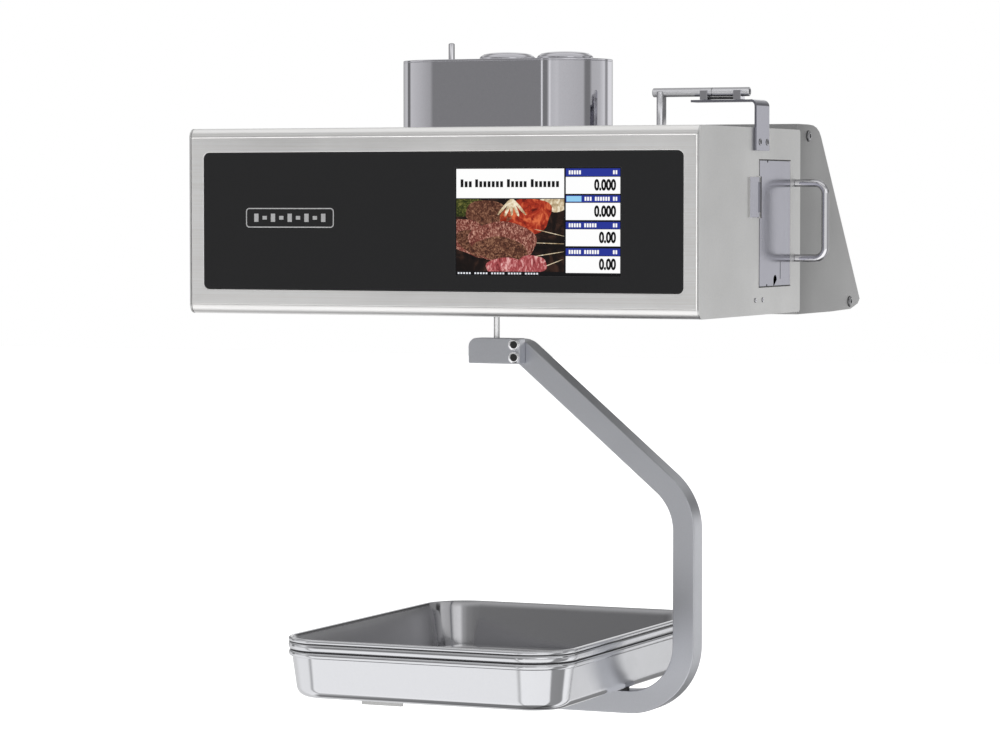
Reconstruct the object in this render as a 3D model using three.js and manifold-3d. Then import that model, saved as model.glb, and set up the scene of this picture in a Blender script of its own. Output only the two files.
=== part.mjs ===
// Hanging retail price scale: a stainless display housing under a ceiling hanger, an operator console
// behind it, a label printer behind a side door, and a weigh pan on a cranked arm below.
// Millimetres, +X right, +Y towards the operator, +Z up. The origin is the top of the pole boss.
import * as THREE from "three";
import { mergeVertices, toCreasedNormals } from "three/addons/utils/BufferGeometryUtils.js";
import Module from "manifold-3d";

const wasm = await Module();
wasm.setup();

// ---- Driving dimensions -------------------------------------------------------------------------
const GAP = 0.3; // clearance where two pieces meet
const SHEET = 1.5; // stainless sheet
const SCREW_HOLE = 1.8; // radius of the holes for small screws

const HOUSING = { width: 482, depth: 256, height: 163, lip: 8, rearCorner: 3 };
const FRONT = -HOUSING.depth / 2;
const BACK = HOUSING.depth / 2;
const SIDE = HOUSING.width / 2;
const BEZEL_DEPTH = 12; // how far the front panel's lips reach back

const GLASS = { width: 453, height: 119.5, corner: 5, thickness: 3, z: 81.6 };
const SCREEN = { width: 152.4, height: 91.4, x: 94, thickness: 9, margin: 7 };

const HANGER = { length: 196, width: 96, height: 62, y: 24, plate: 2 };
const BOSS = { radius: 25, rise: 7, land: 9, conduitX: 56 };
const PIN = { x: -55, radius: 2.75, height: 16.5, tail: 20 };
const STEM_RADIUS = 10;
const STEM_PLAY = { above: 2.5, belowChassis: 15 };
const STEM_NUT = { radius: 18, height: 10 };
const CHASSIS = { length: 260, width: 150, thickness: 3, flange: 22, front: -66 };

const CONSOLE = { halfWidth: 238, wall: 2, top: 168.4, bottom: -2.5 };
const FACE_TOP = new THREE.Vector2(194, 158); // the slanted face, as Y and Z
const FACE_FOOT = new THREE.Vector2(308, 7.5);
const TOUCH = { width: 300, height: 160, x: -60, thickness: 3, screenWidth: 217, screenHeight: 136 };
const TOUCH_ALONG = 96; // up the slanted face to the middle of the touch glass
const EXIT_SLOT = { x: 192, width: 74, height: 9, along: 56 };
const BUTTON = { x: 192, along: 128, radius: 9, rise: 1.8, flange: 2, collar: 1.5 };
const VENT = { half: 60, from: 156, pitch: 9, width: 4, rows: 6 };
const GLAND = { x: -150, y: 170, radius: 6, nut: 9, bore: 3.5 };
const SERVICE_OPENING = { half: 215, bottom: 14, top: 148 };

const DOOR = { front: 20.7, back: 100.6, bottom: 24.8, top: 134.5 };
const DOOR_SLIT = [74.3, 75.7, 30.5, 46]; // front, back, bottom, top
const NOTCH_DEPTH = 1.6;
const THUMB = { y: 61.6, radius: 4.4, height: 5 };
const HINGE = { y: 17.7, bottom: 85, top: 120, pin: 1.5, barrel: 2.5, plateFront: -7 };
const HINGE_EAR = { reach: 2.1, height: 4 };
const HANDLE = { y: 116, bottom: 48.2, top: 115.2, reach: 27.8, radius: 4, bend: 11.5, stud: 2 };
const SIGN = { front: 6, back: 39, bottom: 143, plateZ: 186.5, plateEnd: 179, thickness: 2 };
const RAIL = { from: 141, to: 231, y: 22.5, z: 194.5, radius: 4, bore: 2.6 };
const POST = { x: 148.5, width: 6.5, depth: 12, tenon: 2 };
const CLIP = { xs: [190, 221], halfWidth: 3.5, halfDepth: 5.6, above: 1.5 };

const ROLL = { y: 58, z: 88, radius: 33, core: 14.5, bore: 12.7, from: 160, to: 224 };
const PLATEN = { y: 107, z: 44, radius: 7, shaft: 3 };
const PRINT_HEAD = { front: 8, back: 12, top: 15 }; // measured from the platen's axis
const PRINTER = { plateX: 148, front: 14, back: 120, bottom: 16, top: 140, right: 234 };

// Each as left, right, front, back, bottom, top.
const BOARD = {
  plate: [-225, -135, -60, 90, 24, 25.6],
  parts: [
    [-205, -185, -30, -10, 25, 29],
    [-170, -150, 10, 40, 25, 31],
    [-215, -195, 60, 80, 25, 38],
    [-180, -160, -50, -35, 25, 36],
  ],
};
const POWER_SUPPLY = [-232, -140, -60, 80, 60, 100];

const CELL = { length: 130, width: 30, height: 24, z: 62, waist: 8 };
const LOAD_ROD = { radius: 2.6, seal: 9 };
const DEFLECTION = 1; // how far the load rod sinks under full load
const BLOCK = { length: 50, thickness: 13, height: 22.8, top: -22.8, corner: 8 };
const BLOCK_SCREW = { x: 19.2, radius: 4.5, height: 3, hole: 2.2, zs: [-28.4, -39.8] };

const BAR = { width: 20, depth: 21.5 };
const ARM = { start: -6, kneeX: 19.2, kneeZ: -34, slope: 40, downX: 176, lowZ: -344, end: -70 };
const ARM_BEND = { knee: 10.5, upper: 55, lower: 52 };
const SUPPORT = { clear: 0.2, thickness: 2, half: 60, front: -110, back: 120, right: 116 };
const LUG = { left: -66, right: -27, front: -142, thickness: 3, drop: 4 };
const SUPPORT_SCREW = { head: 3.7, sink: 1.3, shank: 1.7, length: 9 };

const PAN = { x: 2, y: -4.5, halfX: 135, halfY: 177, corner: 42, top: -279 };
const PAN_TAPER = Math.tan(THREE.MathUtils.degToRad(8));
const PAN_FILLET = { inside: 9, outside: 10 };
const INNER_PAN = { rimRadius: 1.7, rimHeight: 10.3, wallInset: 3.2, thickness: 0.8, floor: -328.9 };
const OUTER_PAN = { rimTop: -290.5, rimHeight: 5, wallInset: 3.2, thickness: 1, floor: -330.4 };
const RIM_STEPS = 3;

// ---- Solid helpers ------------------------------------------------------------------------------
const X_AXIS = new THREE.Vector3(1, 0, 0);
const Y_AXIS = new THREE.Vector3(0, 1, 0);
const Z_AXIS = new THREE.Vector3(0, 0, 1);

function solid(geometry) {
  const bare = new THREE.BufferGeometry();
  bare.setAttribute("position", geometry.getAttribute("position"));
  bare.setIndex(geometry.index);
  const merged = mergeVertices(bare, 1e-4);
  const mesh = new wasm.Mesh({
    numProp: 3,
    vertProperties: merged.attributes.position.array,
    triVerts: new Uint32Array(merged.index.array),
  });
  return new wasm.Manifold(mesh);
}

function cut(base, ...tools) {
  return tools.reduce((left, tool) => left.subtract(tool), base);
}

function join(...pieces) {
  return pieces.reduce((whole, piece) => whole.add(piece));
}

function geometryOf(shape) {
  const mesh = shape.getMesh();
  const geometry = new THREE.BufferGeometry();
  geometry.setAttribute("position", new THREE.BufferAttribute(mesh.vertProperties, 3));
  geometry.setIndex(new THREE.BufferAttribute(mesh.triVerts, 1));
  return toCreasedNormals(geometry, Math.PI / 6);
}

// A box between two corners.
function block(x0, x1, y0, y1, z0, z1) {
  const box = new THREE.BoxGeometry(x1 - x0, y1 - y0, z1 - z0);
  return solid(box.translate((x0 + x1) / 2, (y0 + y1) / 2, (z0 + z1) / 2));
}

// A shape drawn in X and Y, between two heights.
function prismZ(shape, z0, z1, curveSegments = 12) {
  const prism = new THREE.ExtrudeGeometry(shape, { depth: z1 - z0, bevelEnabled: false, curveSegments });
  return solid(prism.translate(0, 0, z0));
}

// A shape drawn in X and Z, between two Y planes.
function prismY(shape, y0, y1, curveSegments = 12) {
  const prism = new THREE.ExtrudeGeometry(shape, { depth: y1 - y0, bevelEnabled: false, curveSegments });
  prism.applyMatrix4(new THREE.Matrix4().makeBasis(X_AXIS, Z_AXIS, Y_AXIS.clone().negate()));
  return solid(prism.translate(0, y1, 0));
}

// A shape drawn in Y and Z, between two X planes.
function prismX(shape, x0, x1, curveSegments = 12) {
  const prism = new THREE.ExtrudeGeometry(shape, { depth: x1 - x0, bevelEnabled: false, curveSegments });
  prism.applyMatrix4(new THREE.Matrix4().makeBasis(Y_AXIS, Z_AXIS, X_AXIS));
  return solid(prism.translate(x0, 0, 0));
}

// A round bar along an axis, from one point over a length.
function bar(axis, radius, length, x, y, z, segments = 24) {
  const cylinder = new THREE.CylinderGeometry(radius, radius, length, segments).translate(0, length / 2, 0);
  cylinder.applyQuaternion(new THREE.Quaternion().setFromUnitVectors(Y_AXIS, axis));
  return solid(cylinder.translate(x, y, z));
}

function roundedRectangle(width, height, radius, cx = 0, cy = 0) {
  const x = width / 2 - radius;
  const y = height / 2 - radius;
  const shape = new THREE.Shape();
  shape.absarc(cx + x, cy + y, radius, 0, Math.PI / 2);
  shape.absarc(cx - x, cy + y, radius, Math.PI / 2, Math.PI);
  shape.absarc(cx - x, cy - y, radius, Math.PI, Math.PI * 1.5);
  shape.absarc(cx + x, cy - y, radius, Math.PI * 1.5, Math.PI * 2);
  shape.closePath();
  return shape;
}

// The points of a line with rounded corners; radii belong to the inner points.
function filleted(points, radii, steps = 8) {
  const out = [points[0]];
  for (let i = 1; i < points.length - 1; i += 1) {
    const toPrevious = points[i - 1].clone().sub(points[i]).normalize();
    const toNext = points[i + 1].clone().sub(points[i]).normalize();
    const half = Math.acos(THREE.MathUtils.clamp(toPrevious.dot(toNext), -1, 1)) / 2;
    const radius = radii[i - 1];
    const centre = toPrevious.clone().add(toNext).setLength(radius / Math.sin(half)).add(points[i]);
    const start = toPrevious.clone().multiplyScalar(radius / Math.tan(half)).add(points[i]).sub(centre);
    const end = toNext.clone().multiplyScalar(radius / Math.tan(half)).add(points[i]).sub(centre);
    const sweep = Math.atan2(start.cross(end), start.dot(end));
    for (let s = 0; s <= steps; s += 1) {
      const angle = (sweep * s) / steps;
      out.push(start.clone().rotateAround(new THREE.Vector2(), angle).add(centre));
    }
  }
  out.push(points.at(-1));
  return out;
}

// The line moved sideways to its left by a distance, mitred at its corners.
function beside(points, distance) {
  return points.map((point, i) => {
    const before = points[Math.max(i - 1, 0)];
    const after = points[Math.min(i + 1, points.length - 1)];
    const into = (i > 0 ? point.clone().sub(before) : after.clone().sub(point)).normalize();
    const out = (i < points.length - 1 ? after.clone().sub(point) : point.clone().sub(before)).normalize();
    const normal = new THREE.Vector2(-into.y - out.y, into.x + out.x).normalize();
    return normal.multiplyScalar(distance / normal.dot(new THREE.Vector2(-into.y, into.x))).add(point);
  });
}

// A strip of even width along a line whose corners are rounded at the strip's centre.
function strip(points, radii, width) {
  const turns = radii.map((radius, i) => {
    const into = points[i + 1].clone().sub(points[i]);
    const out = points[i + 2].clone().sub(points[i + 1]);
    return Math.sign(into.cross(out));
  });
  const edge = (side) =>
    filleted(
      beside(points, (side * width) / 2),
      radii.map((radius, i) => Math.max(radius - (side * turns[i] * width) / 2, 0.5)),
    );
  return new THREE.Shape([...edge(1), ...edge(-1).reverse()]);
}

// A closed lathe profile of [radius, height] points, turned about +Z.
function turned(profile, x, y, z, segments = 32) {
  const points = profile.map(([radius, height]) => new THREE.Vector2(radius, height));
  const lathe = new THREE.LatheGeometry(points, segments).rotateX(Math.PI / 2);
  return solid(lathe.translate(x, y, z));
}

// A dish with rounded corners: rings of [inset, height], from its inner floor out to its underside.
function dish(rings, cornerSteps = 6) {
  const outline = [];
  for (const [inset, height] of rings) {
    const radius = Math.max(PAN.corner - inset, 4);
    const x = PAN.halfX - inset - radius;
    const y = PAN.halfY - inset - radius;
    for (let corner = 0; corner < 4; corner += 1) {
      const cx = corner === 0 || corner === 3 ? x : -x;
      const cy = corner < 2 ? y : -y;
      for (let s = 0; s <= cornerSteps; s += 1) {
        const angle = ((corner + s / cornerSteps) * Math.PI) / 2;
        outline.push(PAN.x + cx + radius * Math.cos(angle), PAN.y + cy + radius * Math.sin(angle), height);
      }
    }
  }
  const count = 4 * (cornerSteps + 1);
  const last = rings.length - 1;
  outline.push(PAN.x, PAN.y, rings[0][1], PAN.x, PAN.y, rings[last][1]);
  const innerCentre = rings.length * count;
  const index = [];
  for (let i = 0; i < count; i += 1) {
    const next = (i + 1) % count;
    index.push(innerCentre, i, next, innerCentre + 1, last * count + next, last * count + i);
    for (let ring = 0; ring < last; ring += 1) {
      const a = ring * count;
      const b = a + count;
      index.push(a + i, b + i, b + next, a + i, b + next, a + next);
    }
  }
  const geometry = new THREE.BufferGeometry();
  geometry.setAttribute("position", new THREE.Float32BufferAttribute(outline, 3));
  geometry.setIndex(index);
  return solid(geometry);
}

// A socket-head screw whose shank points along -Z before it is turned.
function socketScrew(headRadius, headHeight, shankRadius, shankLength) {
  const head = bar(Z_AXIS, headRadius, headHeight, 0, 0, 0, 20);
  const shank = bar(Z_AXIS, shankRadius, shankLength + 1, 0, 0, -shankLength, 16);
  const socket = bar(Z_AXIS, headRadius * 0.5, headHeight, 0, 0, headHeight * 0.4, 6);
  return cut(join(head, shank), socket);
}

// ---- Materials ----------------------------------------------------------------------------------
function material(color, roughness, metalness) {
  return new THREE.MeshStandardMaterial({ color, roughness, metalness });
}

const brushedSteel = () => material(0xc3c1bd, 0.42, 1);
const satinSteel = () => material(0xb7b7b7, 0.5, 1);
const polishedSteel = () => material(0xc9cacd, 0.14, 1);
const polishedDoor = () => material(0xa3a3ae, 0.2, 1);
const anodised = () => material(0xa4a6ab, 0.4, 1);
const blackGlass = () => material(0x161616, 0.08, 0);
const screenFace = () => material(0xe8ecf2, 0.3, 0);
const blackPlastic = () => material(0x232326, 0.55, 0);
const blackSteel = () => material(0x17181a, 0.35, 1);
const rubber = () => material(0x1c1c1e, 0.8, 0);
const castAluminium = () => material(0xb9bcc0, 0.45, 1);
const boardGreen = () => material(0x1e5a3c, 0.5, 0);
const labelPaper = () => material(0xf2f1ec, 0.85, 0);
const coreCard = () => material(0xa98a63, 0.9, 0);

// ---- Assembly -----------------------------------------------------------------------------------
const scale = new THREE.Group();
const housing = new THREE.Group(); // origin on the load rod's axis, at the housing's underside
const housingTop = HOUSING.height;
housing.position.set(0, -HANGER.y, -(housingTop + HANGER.height + BOSS.rise));
scale.add(housing);

function add(name, shape, look, parent = housing) {
  const mesh = new THREE.Mesh(geometryOf(shape), look);
  mesh.name = name;
  parent.add(mesh);
  return mesh;
}

// The side outline of the housing: large lips at the front, small corners at the rear.
function housingOutline(inset) {
  const lip = HOUSING.lip - inset;
  const rear = HOUSING.rearCorner - inset;
  const z0 = inset;
  const z1 = housingTop - inset;
  const y0 = FRONT + inset;
  const y1 = BACK - inset;
  const shape = new THREE.Shape();
  shape.absarc(y1 - rear, z1 - rear, rear, 0, Math.PI / 2);
  shape.absarc(y0 + lip, z1 - lip, lip, Math.PI / 2, Math.PI);
  shape.absarc(y0 + lip, z0 + lip, lip, Math.PI, Math.PI * 1.5);
  shape.absarc(y1 - rear, z0 + rear, rear, Math.PI * 1.5, Math.PI * 2);
  shape.closePath();
  return shape;
}

function housingShell() {
  const inside = SIDE - SHEET;
  const seam = FRONT + BEZEL_DEPTH;
  const notchFront = HINGE.y - HINGE.barrel - GAP;
  const doorMid = (DOOR.bottom + DOOR.top) / 2;
  const tenon = POST.tenon + GAP;
  const openings = [
    prismX(housingOutline(SHEET), -inside, inside, 8),
    block(-inside, inside, BACK - 10, BACK + 1, SHEET, housingTop - SHEET),
    block(-inside, inside, FRONT - 1, seam, -1, housingTop + 1),
    block(inside - 1, SIDE + 1, DOOR.front - GAP, DOOR.back + GAP, DOOR.bottom - GAP, DOOR.top + GAP),
    block(inside - 1, SIDE + 1, notchFront, doorMid, HINGE.bottom - GAP, HINGE.top + GAP),
    bar(Z_AXIS, STEM_RADIUS + GAP, 10, 0, HANGER.y, housingTop - 5),
    bar(Z_AXIS, STEM_RADIUS + GAP, 10, BOSS.conduitX, HANGER.y, housingTop - 5),
    bar(Z_AXIS, LOAD_ROD.seal, 10, 0, 0, -5),
    block(POST.x - tenon, POST.x + tenon, RAIL.y - tenon, RAIL.y + tenon, housingTop - 5, housingTop + 1),
  ];
  for (const z of [HANDLE.bottom, HANDLE.top]) {
    openings.push(bar(X_AXIS, HANDLE.stud + GAP, 10, SIDE - 5, HANDLE.y, z, 12));
  }
  for (const [y, z] of [...strapScrews, ...sideScrews]) {
    openings.push(bar(X_AXIS, SCREW_HOLE, 10, SIDE - 5, y, z, 12));
  }
  return cut(prismX(housingOutline(0), -SIDE, SIDE, 8), ...openings);
}

function frontBezel() {
  const half = SIDE - SHEET - 0.2;
  const skin = cut(
    prismX(housingOutline(0), -half, half, 8),
    prismX(housingOutline(SHEET), -half - 1, half + 1, 8),
  );
  const behind = block(-SIDE, SIDE, FRONT + BEZEL_DEPTH - 0.2, BACK + 1, -1, housingTop + 1);
  const width = GLASS.width + 2 * GAP;
  const height = GLASS.height + 2 * GAP;
  const window = roundedRectangle(width, height, GLASS.corner + GAP, 0, GLASS.z);
  return cut(skin, behind, prismY(window, FRONT - 1, FRONT + 10, 6));
}

const glassFace = FRONT + 0.2;
const screenFaceY = glassFace + 0.25;

function frontGlass() {
  const outline = roundedRectangle(GLASS.width, GLASS.height, GLASS.corner, 0, GLASS.z);
  const plate = prismY(outline, glassFace, glassFace + GLASS.thickness, 6);
  const w = SCREEN.width / 2 + GAP;
  const h = SCREEN.height / 2 + GAP;
  return cut(plate, block(SCREEN.x - w, SCREEN.x + w, FRONT - 1, FRONT + 9, GLASS.z - h, GLASS.z + h));
}

function customerDisplay() {
  const w = SCREEN.width / 2;
  const h = SCREEN.height / 2;
  const m = SCREEN.margin;
  const bodyFront = glassFace + GLASS.thickness + GAP;
  const face = block(SCREEN.x - w, SCREEN.x + w, screenFaceY, bodyFront + 1, GLASS.z - h, GLASS.z + h);
  const body = block(
    SCREEN.x - w - m, SCREEN.x + w + m,
    bodyFront, bodyFront + SCREEN.thickness,
    GLASS.z - h - m, GLASS.z + h + m,
  );
  return join(face, body);
}

// ---- Hanger -------------------------------------------------------------------------------------
const coverTop = housingTop + HANGER.height;

function stadium(inset) {
  const width = HANGER.width - 2 * inset;
  return roundedRectangle(HANGER.length - 2 * inset, width, width / 2 - 0.01, 0, HANGER.y);
}

function hangerCover() {
  const z0 = housingTop + GAP;
  const z1 = coverTop - HANGER.plate - GAP;
  return cut(prismZ(stadium(0), z0, z1, 9), prismZ(stadium(SHEET), z0 - 1, z1 + 1, 9));
}

function hangerTopPlate() {
  const plate = prismZ(stadium(0), coverTop - HANGER.plate, coverTop, 9);
  return cut(
    plate,
    bar(Z_AXIS, STEM_RADIUS + GAP, 10, 0, HANGER.y, coverTop - 5),
    bar(Z_AXIS, STEM_RADIUS + GAP, 10, BOSS.conduitX, HANGER.y, coverTop - 5),
    bar(Z_AXIS, PIN.radius + 0.1, 10, PIN.x, HANGER.y, coverTop - 5, 16),
  );
}

// A domed disc with a flat land on top and a bore from below for its stem.
function domedBoss(x) {
  const profile = [
    [0, GAP],
    [BOSS.radius, GAP],
    [BOSS.radius, 1.4],
    [BOSS.radius - 1.6, 3.2],
    [BOSS.radius - 5.5, 5],
    [BOSS.radius - 10.5, 6.3],
    [BOSS.land, BOSS.rise],
    [0, BOSS.rise],
  ];
  const boss = turned(profile, x, HANGER.y, coverTop);
  return cut(boss, bar(Z_AXIS, STEM_RADIUS + GAP, 4, x, HANGER.y, coverTop - 1));
}

function suspensionStem() {
  const foot = housingTop - SHEET - CHASSIS.thickness - STEM_PLAY.belowChassis;
  return bar(Z_AXIS, STEM_RADIUS, coverTop + STEM_PLAY.above - foot, 0, HANGER.y, foot, 24);
}

function conduit() {
  const foot = housingTop - SHEET - CHASSIS.thickness - 4;
  const length = coverTop + STEM_PLAY.above - foot;
  return cut(
    bar(Z_AXIS, STEM_RADIUS, length, BOSS.conduitX, HANGER.y, foot, 24),
    bar(Z_AXIS, STEM_RADIUS - 2, length + 2, BOSS.conduitX, HANGER.y, foot - 1, 24),
  );
}

function stemNut() {
  const top = housingTop - SHEET - CHASSIS.thickness - 2 * GAP;
  return cut(
    bar(Z_AXIS, STEM_NUT.radius, STEM_NUT.height, 0, HANGER.y, top - STEM_NUT.height, 6),
    bar(Z_AXIS, STEM_RADIUS + 0.1, STEM_NUT.height + 2, 0, HANGER.y, top - STEM_NUT.height - 1, 24),
  );
}

function hangerPin() {
  return bar(Z_AXIS, PIN.radius, PIN.height + PIN.tail, PIN.x, HANGER.y, coverTop - PIN.tail, 16);
}

function innerChassis() {
  const top = housingTop - SHEET - GAP;
  const half = CHASSIS.length / 2;
  const y0 = CHASSIS.front;
  const y1 = y0 + CHASSIS.width;
  const x0 = -half;
  const x1 = half - 8;
  const plate = block(x0, x1, y0, y1, top - CHASSIS.thickness, top);
  const frontFlange = block(x0, x1, y0, y0 + CHASSIS.thickness, top - CHASSIS.flange, top);
  const rearFlange = block(x0, x1, y1 - CHASSIS.thickness, y1, top - CHASSIS.flange, top);
  return cut(
    join(plate, frontFlange, rearFlange),
    bar(Z_AXIS, STEM_RADIUS + GAP, 20, 0, HANGER.y, top - 10),
    bar(Z_AXIS, STEM_RADIUS + GAP, 20, BOSS.conduitX, HANGER.y, top - 10),
  );
}

// ---- Load path ----------------------------------------------------------------------------------
const cellLeft = -CELL.length + 18;
const cellTop = CELL.z + CELL.height / 2;

// A single-point load cell: two joined bores thin the bar to springy webs.
function loadCell() {
  const half = CELL.width / 2;
  const bottom = CELL.z - CELL.height / 2;
  const middle = cellLeft + CELL.length / 2;
  return cut(
    block(cellLeft, cellLeft + CELL.length, -half, half, bottom, cellTop),
    bar(Y_AXIS, CELL.waist, CELL.width + 2, middle - 14, -half - 1, CELL.z, 24),
    bar(Y_AXIS, CELL.waist, CELL.width + 2, middle + 14, -half - 1, CELL.z, 24),
    block(middle - 14, middle + 14, -half - 1, half + 1, CELL.z - 3, CELL.z + 3),
    bar(Z_AXIS, LOAD_ROD.radius + 0.6, 60, 0, 0, CELL.z - 30, 24),
  );
}

function cellBracket() {
  const chassisUnderside = housingTop - SHEET - GAP - CHASSIS.thickness;
  return block(cellLeft - 4, cellLeft + 34, -14, 14, cellTop + GAP, chassisUnderside - GAP);
}

const nutBase = cellTop + DEFLECTION + GAP;

function loadNut() {
  return cut(
    bar(Z_AXIS, 9, 8, 0, 0, nutBase, 6),
    bar(Z_AXIS, LOAD_ROD.radius + 0.05, 10, 0, 0, nutBase - 1, 24),
  );
}

const rodFoot = BLOCK.top - 12;

function loadRod() {
  return bar(Z_AXIS, LOAD_ROD.radius, nutBase + 12 - rodFoot, 0, 0, rodFoot, 24);
}

function rodSeal() {
  const radius = LOAD_ROD.seal;
  const profile = [
    [LOAD_ROD.radius + 0.4, -2.5],
    [radius - 3, -2.5],
    [radius + 1.5, -0.3],
    [radius - 0.3, -0.3],
    [radius - 0.3, SHEET + 2],
    [LOAD_ROD.radius + 0.4, SHEET + 2],
    [LOAD_ROD.radius + 0.4, -2.5],
  ];
  return turned(profile, 0, 0, 0, 24);
}

// ---- Clamp block and arm ------------------------------------------------------------------------
const armFront = BLOCK.thickness / 2 + GAP;

function clampBlock() {
  const half = BLOCK.length / 2;
  const foot = BLOCK.top - BLOCK.height;
  const outline = new THREE.Shape();
  outline.moveTo(half, BLOCK.top);
  outline.absarc(-half + BLOCK.corner, BLOCK.top - BLOCK.corner, BLOCK.corner, Math.PI / 2, Math.PI);
  outline.lineTo(-half, foot);
  outline.lineTo(half, foot);
  outline.closePath();
  const body = prismY(outline, -BLOCK.thickness / 2, BLOCK.thickness / 2, 8);
  const holes = BLOCK_SCREW.zs.map((z) => bar(Y_AXIS, BLOCK_SCREW.hole, 30, BLOCK_SCREW.x, -15, z, 16));
  return cut(body, ...holes, bar(Z_AXIS, LOAD_ROD.radius + 0.05, 14, 0, 0, rodFoot - 0.5, 24));
}

function panArm() {
  const slope = Math.tan(THREE.MathUtils.degToRad(ARM.slope));
  const bendZ = ARM.kneeZ - (ARM.downX - ARM.kneeX) * slope;
  const line = [
    new THREE.Vector2(ARM.start, ARM.kneeZ),
    new THREE.Vector2(ARM.kneeX, ARM.kneeZ),
    new THREE.Vector2(ARM.downX, bendZ),
    new THREE.Vector2(ARM.downX, ARM.lowZ),
    new THREE.Vector2(ARM.end, ARM.lowZ),
  ];
  const outline = strip(line, [ARM_BEND.knee, ARM_BEND.upper, ARM_BEND.lower], BAR.width);
  const hole = (z) => bar(Y_AXIS, BLOCK_SCREW.hole, 14, BLOCK_SCREW.x, armFront - 1, z, 16);
  const tap = ([x, y]) => bar(Z_AXIS, SUPPORT_SCREW.shank + 0.2, 12, x, y, barTop - SUPPORT_SCREW.length, 12);
  const body = prismY(outline, armFront, armFront + BAR.depth);
  return cut(body, ...BLOCK_SCREW.zs.map(hole), ...supportScrews.map(tap));
}

function blockScrew(z) {
  const group = new THREE.Group();
  group.position.set(BLOCK_SCREW.x, -BLOCK.thickness / 2 - 0.2, z);
  group.rotation.x = Math.PI / 2;
  housing.add(group);
  return group;
}

const barTop = ARM.lowZ + BAR.width / 2;
const supportFoot = barTop + SUPPORT.clear;
const supportTop = supportFoot + SUPPORT.thickness;
const armMiddle = armFront + BAR.depth / 2;
const supportScrews = [
  [-40, armMiddle],
  [100, armMiddle],
];

// A plate on the lower bar, wide under the pan, with a lug that reaches its front edge.
function panSupport() {
  const plate = join(
    block(-SUPPORT.half, SUPPORT.half, SUPPORT.front, SUPPORT.back, supportFoot, supportTop),
    block(SUPPORT.half - 10, SUPPORT.right, armFront, armFront + BAR.depth, supportFoot, supportTop),
    block(LUG.left, LUG.right, LUG.front, SUPPORT.front + 10, supportFoot, supportTop),
    block(LUG.left, LUG.right, LUG.front, LUG.front + LUG.thickness, supportFoot - LUG.drop, supportTop),
  );
  const hole = ([x, y]) => bar(Z_AXIS, SUPPORT_SCREW.shank + 0.4, 12, x, y, supportFoot - 3, 12);
  const sinkFloor = supportTop - SUPPORT_SCREW.sink;
  const sink = ([x, y]) => bar(Z_AXIS, SUPPORT_SCREW.head + GAP, 3, x, y, sinkFloor, 16);
  return cut(plate, ...supportScrews.map(hole), ...supportScrews.map(sink));
}

function supportScrew([x, y]) {
  const { head, sink, shank, length } = SUPPORT_SCREW;
  const slot = block(x - head + 0.7, x + head - 0.7, y - 0.5, y + 0.5, supportTop - 0.7, supportTop + 1);
  return cut(
    join(
      bar(Z_AXIS, head, sink - 0.2, x, y, supportTop - sink + 0.1, 16),
      bar(Z_AXIS, shank, length, x, y, supportTop - sink + 0.2 - length, 12),
    ),
    slot,
  );
}

// ---- Pans ---------------------------------------------------------------------------------------
// Rings down a tapered wall and round the fillet at its foot to a flat floor.
function wallRings(inset, top, floor, fillet) {
  const foot = inset + (top - floor - fillet) * PAN_TAPER;
  const rings = [[inset, top]];
  for (let step = 0; step <= 4; step += 1) {
    const angle = (step / 4) * (Math.PI / 2);
    rings.push([foot + fillet * (1 - Math.cos(angle)), floor + fillet * (1 - Math.sin(angle))]);
  }
  return rings;
}

// A quarter turn of a rim's edge, from one direction of its section to the next.
function rimCorner(radius, centreZ, from) {
  const corner = [];
  for (let step = 0; step <= RIM_STEPS; step += 1) {
    const angle = from + (step / RIM_STEPS) * (Math.PI / 2);
    corner.push([radius - radius * Math.sin(angle), centreZ + radius * Math.cos(angle)]);
  }
  return corner;
}

function innerPan() {
  const { rimRadius, rimHeight, wallInset, thickness, floor } = INNER_PAN;
  const rimBottom = PAN.top - rimHeight;
  const insideTop = PAN.top - 0.6;
  const outsideTop = rimBottom + 1;
  const outsideInset = wallInset + (insideTop - outsideTop) * PAN_TAPER;
  const inside = wallRings(wallInset + thickness, insideTop, floor, PAN_FILLET.inside);
  const outside = wallRings(outsideInset, outsideTop, floor - thickness, PAN_FILLET.outside);
  return dish([
    ...inside.reverse(),
    [wallInset, PAN.top],
    ...rimCorner(rimRadius, PAN.top - rimRadius, 0),
    ...rimCorner(rimRadius, rimBottom + rimRadius, Math.PI / 2),
    ...outside,
  ]);
}

function outerPan() {
  const { rimTop, rimHeight, wallInset, thickness, floor } = OUTER_PAN;
  const foot = rimTop - rimHeight;
  const inside = wallRings(wallInset + thickness, rimTop - 0.8, floor, PAN_FILLET.inside);
  const outside = wallRings(wallInset, foot, floor - thickness, PAN_FILLET.outside);
  const rim = [
    [wallInset + 0.4, rimTop],
    [1.4, rimTop],
    [0.5, rimTop - 0.4],
    [0.3, rimTop - 1.2],
    [0.3, foot + 0.9],
    [0.8, foot + 0.2],
    [1.8, foot],
  ];
  return dish([...inside.reverse(), ...rim, ...outside]);
}

// ---- Console ------------------------------------------------------------------------------------
function consoleOutline(inset) {
  const y0 = BACK + 0.2;
  const points = [
    [y0, CONSOLE.bottom],
    [224, CONSOLE.bottom],
    [281, CONSOLE.bottom + 1],
    [302, 3],
    [FACE_FOOT.x, FACE_FOOT.y],
    [FACE_TOP.x, FACE_TOP.y],
    [189, 162.5],
    [181.5, 165.9],
    [172, 167.8],
    [159, CONSOLE.top],
    [y0, CONSOLE.top],
  ].map(([y, z]) => new THREE.Vector2(y, z));
  if (!inset) return new THREE.Shape(points);
  const around = [points.at(-1), ...points, points[0]];
  return new THREE.Shape(beside(around, inset).slice(1, -1));
}

const upFace = FACE_TOP.clone().sub(FACE_FOOT).normalize();

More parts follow.
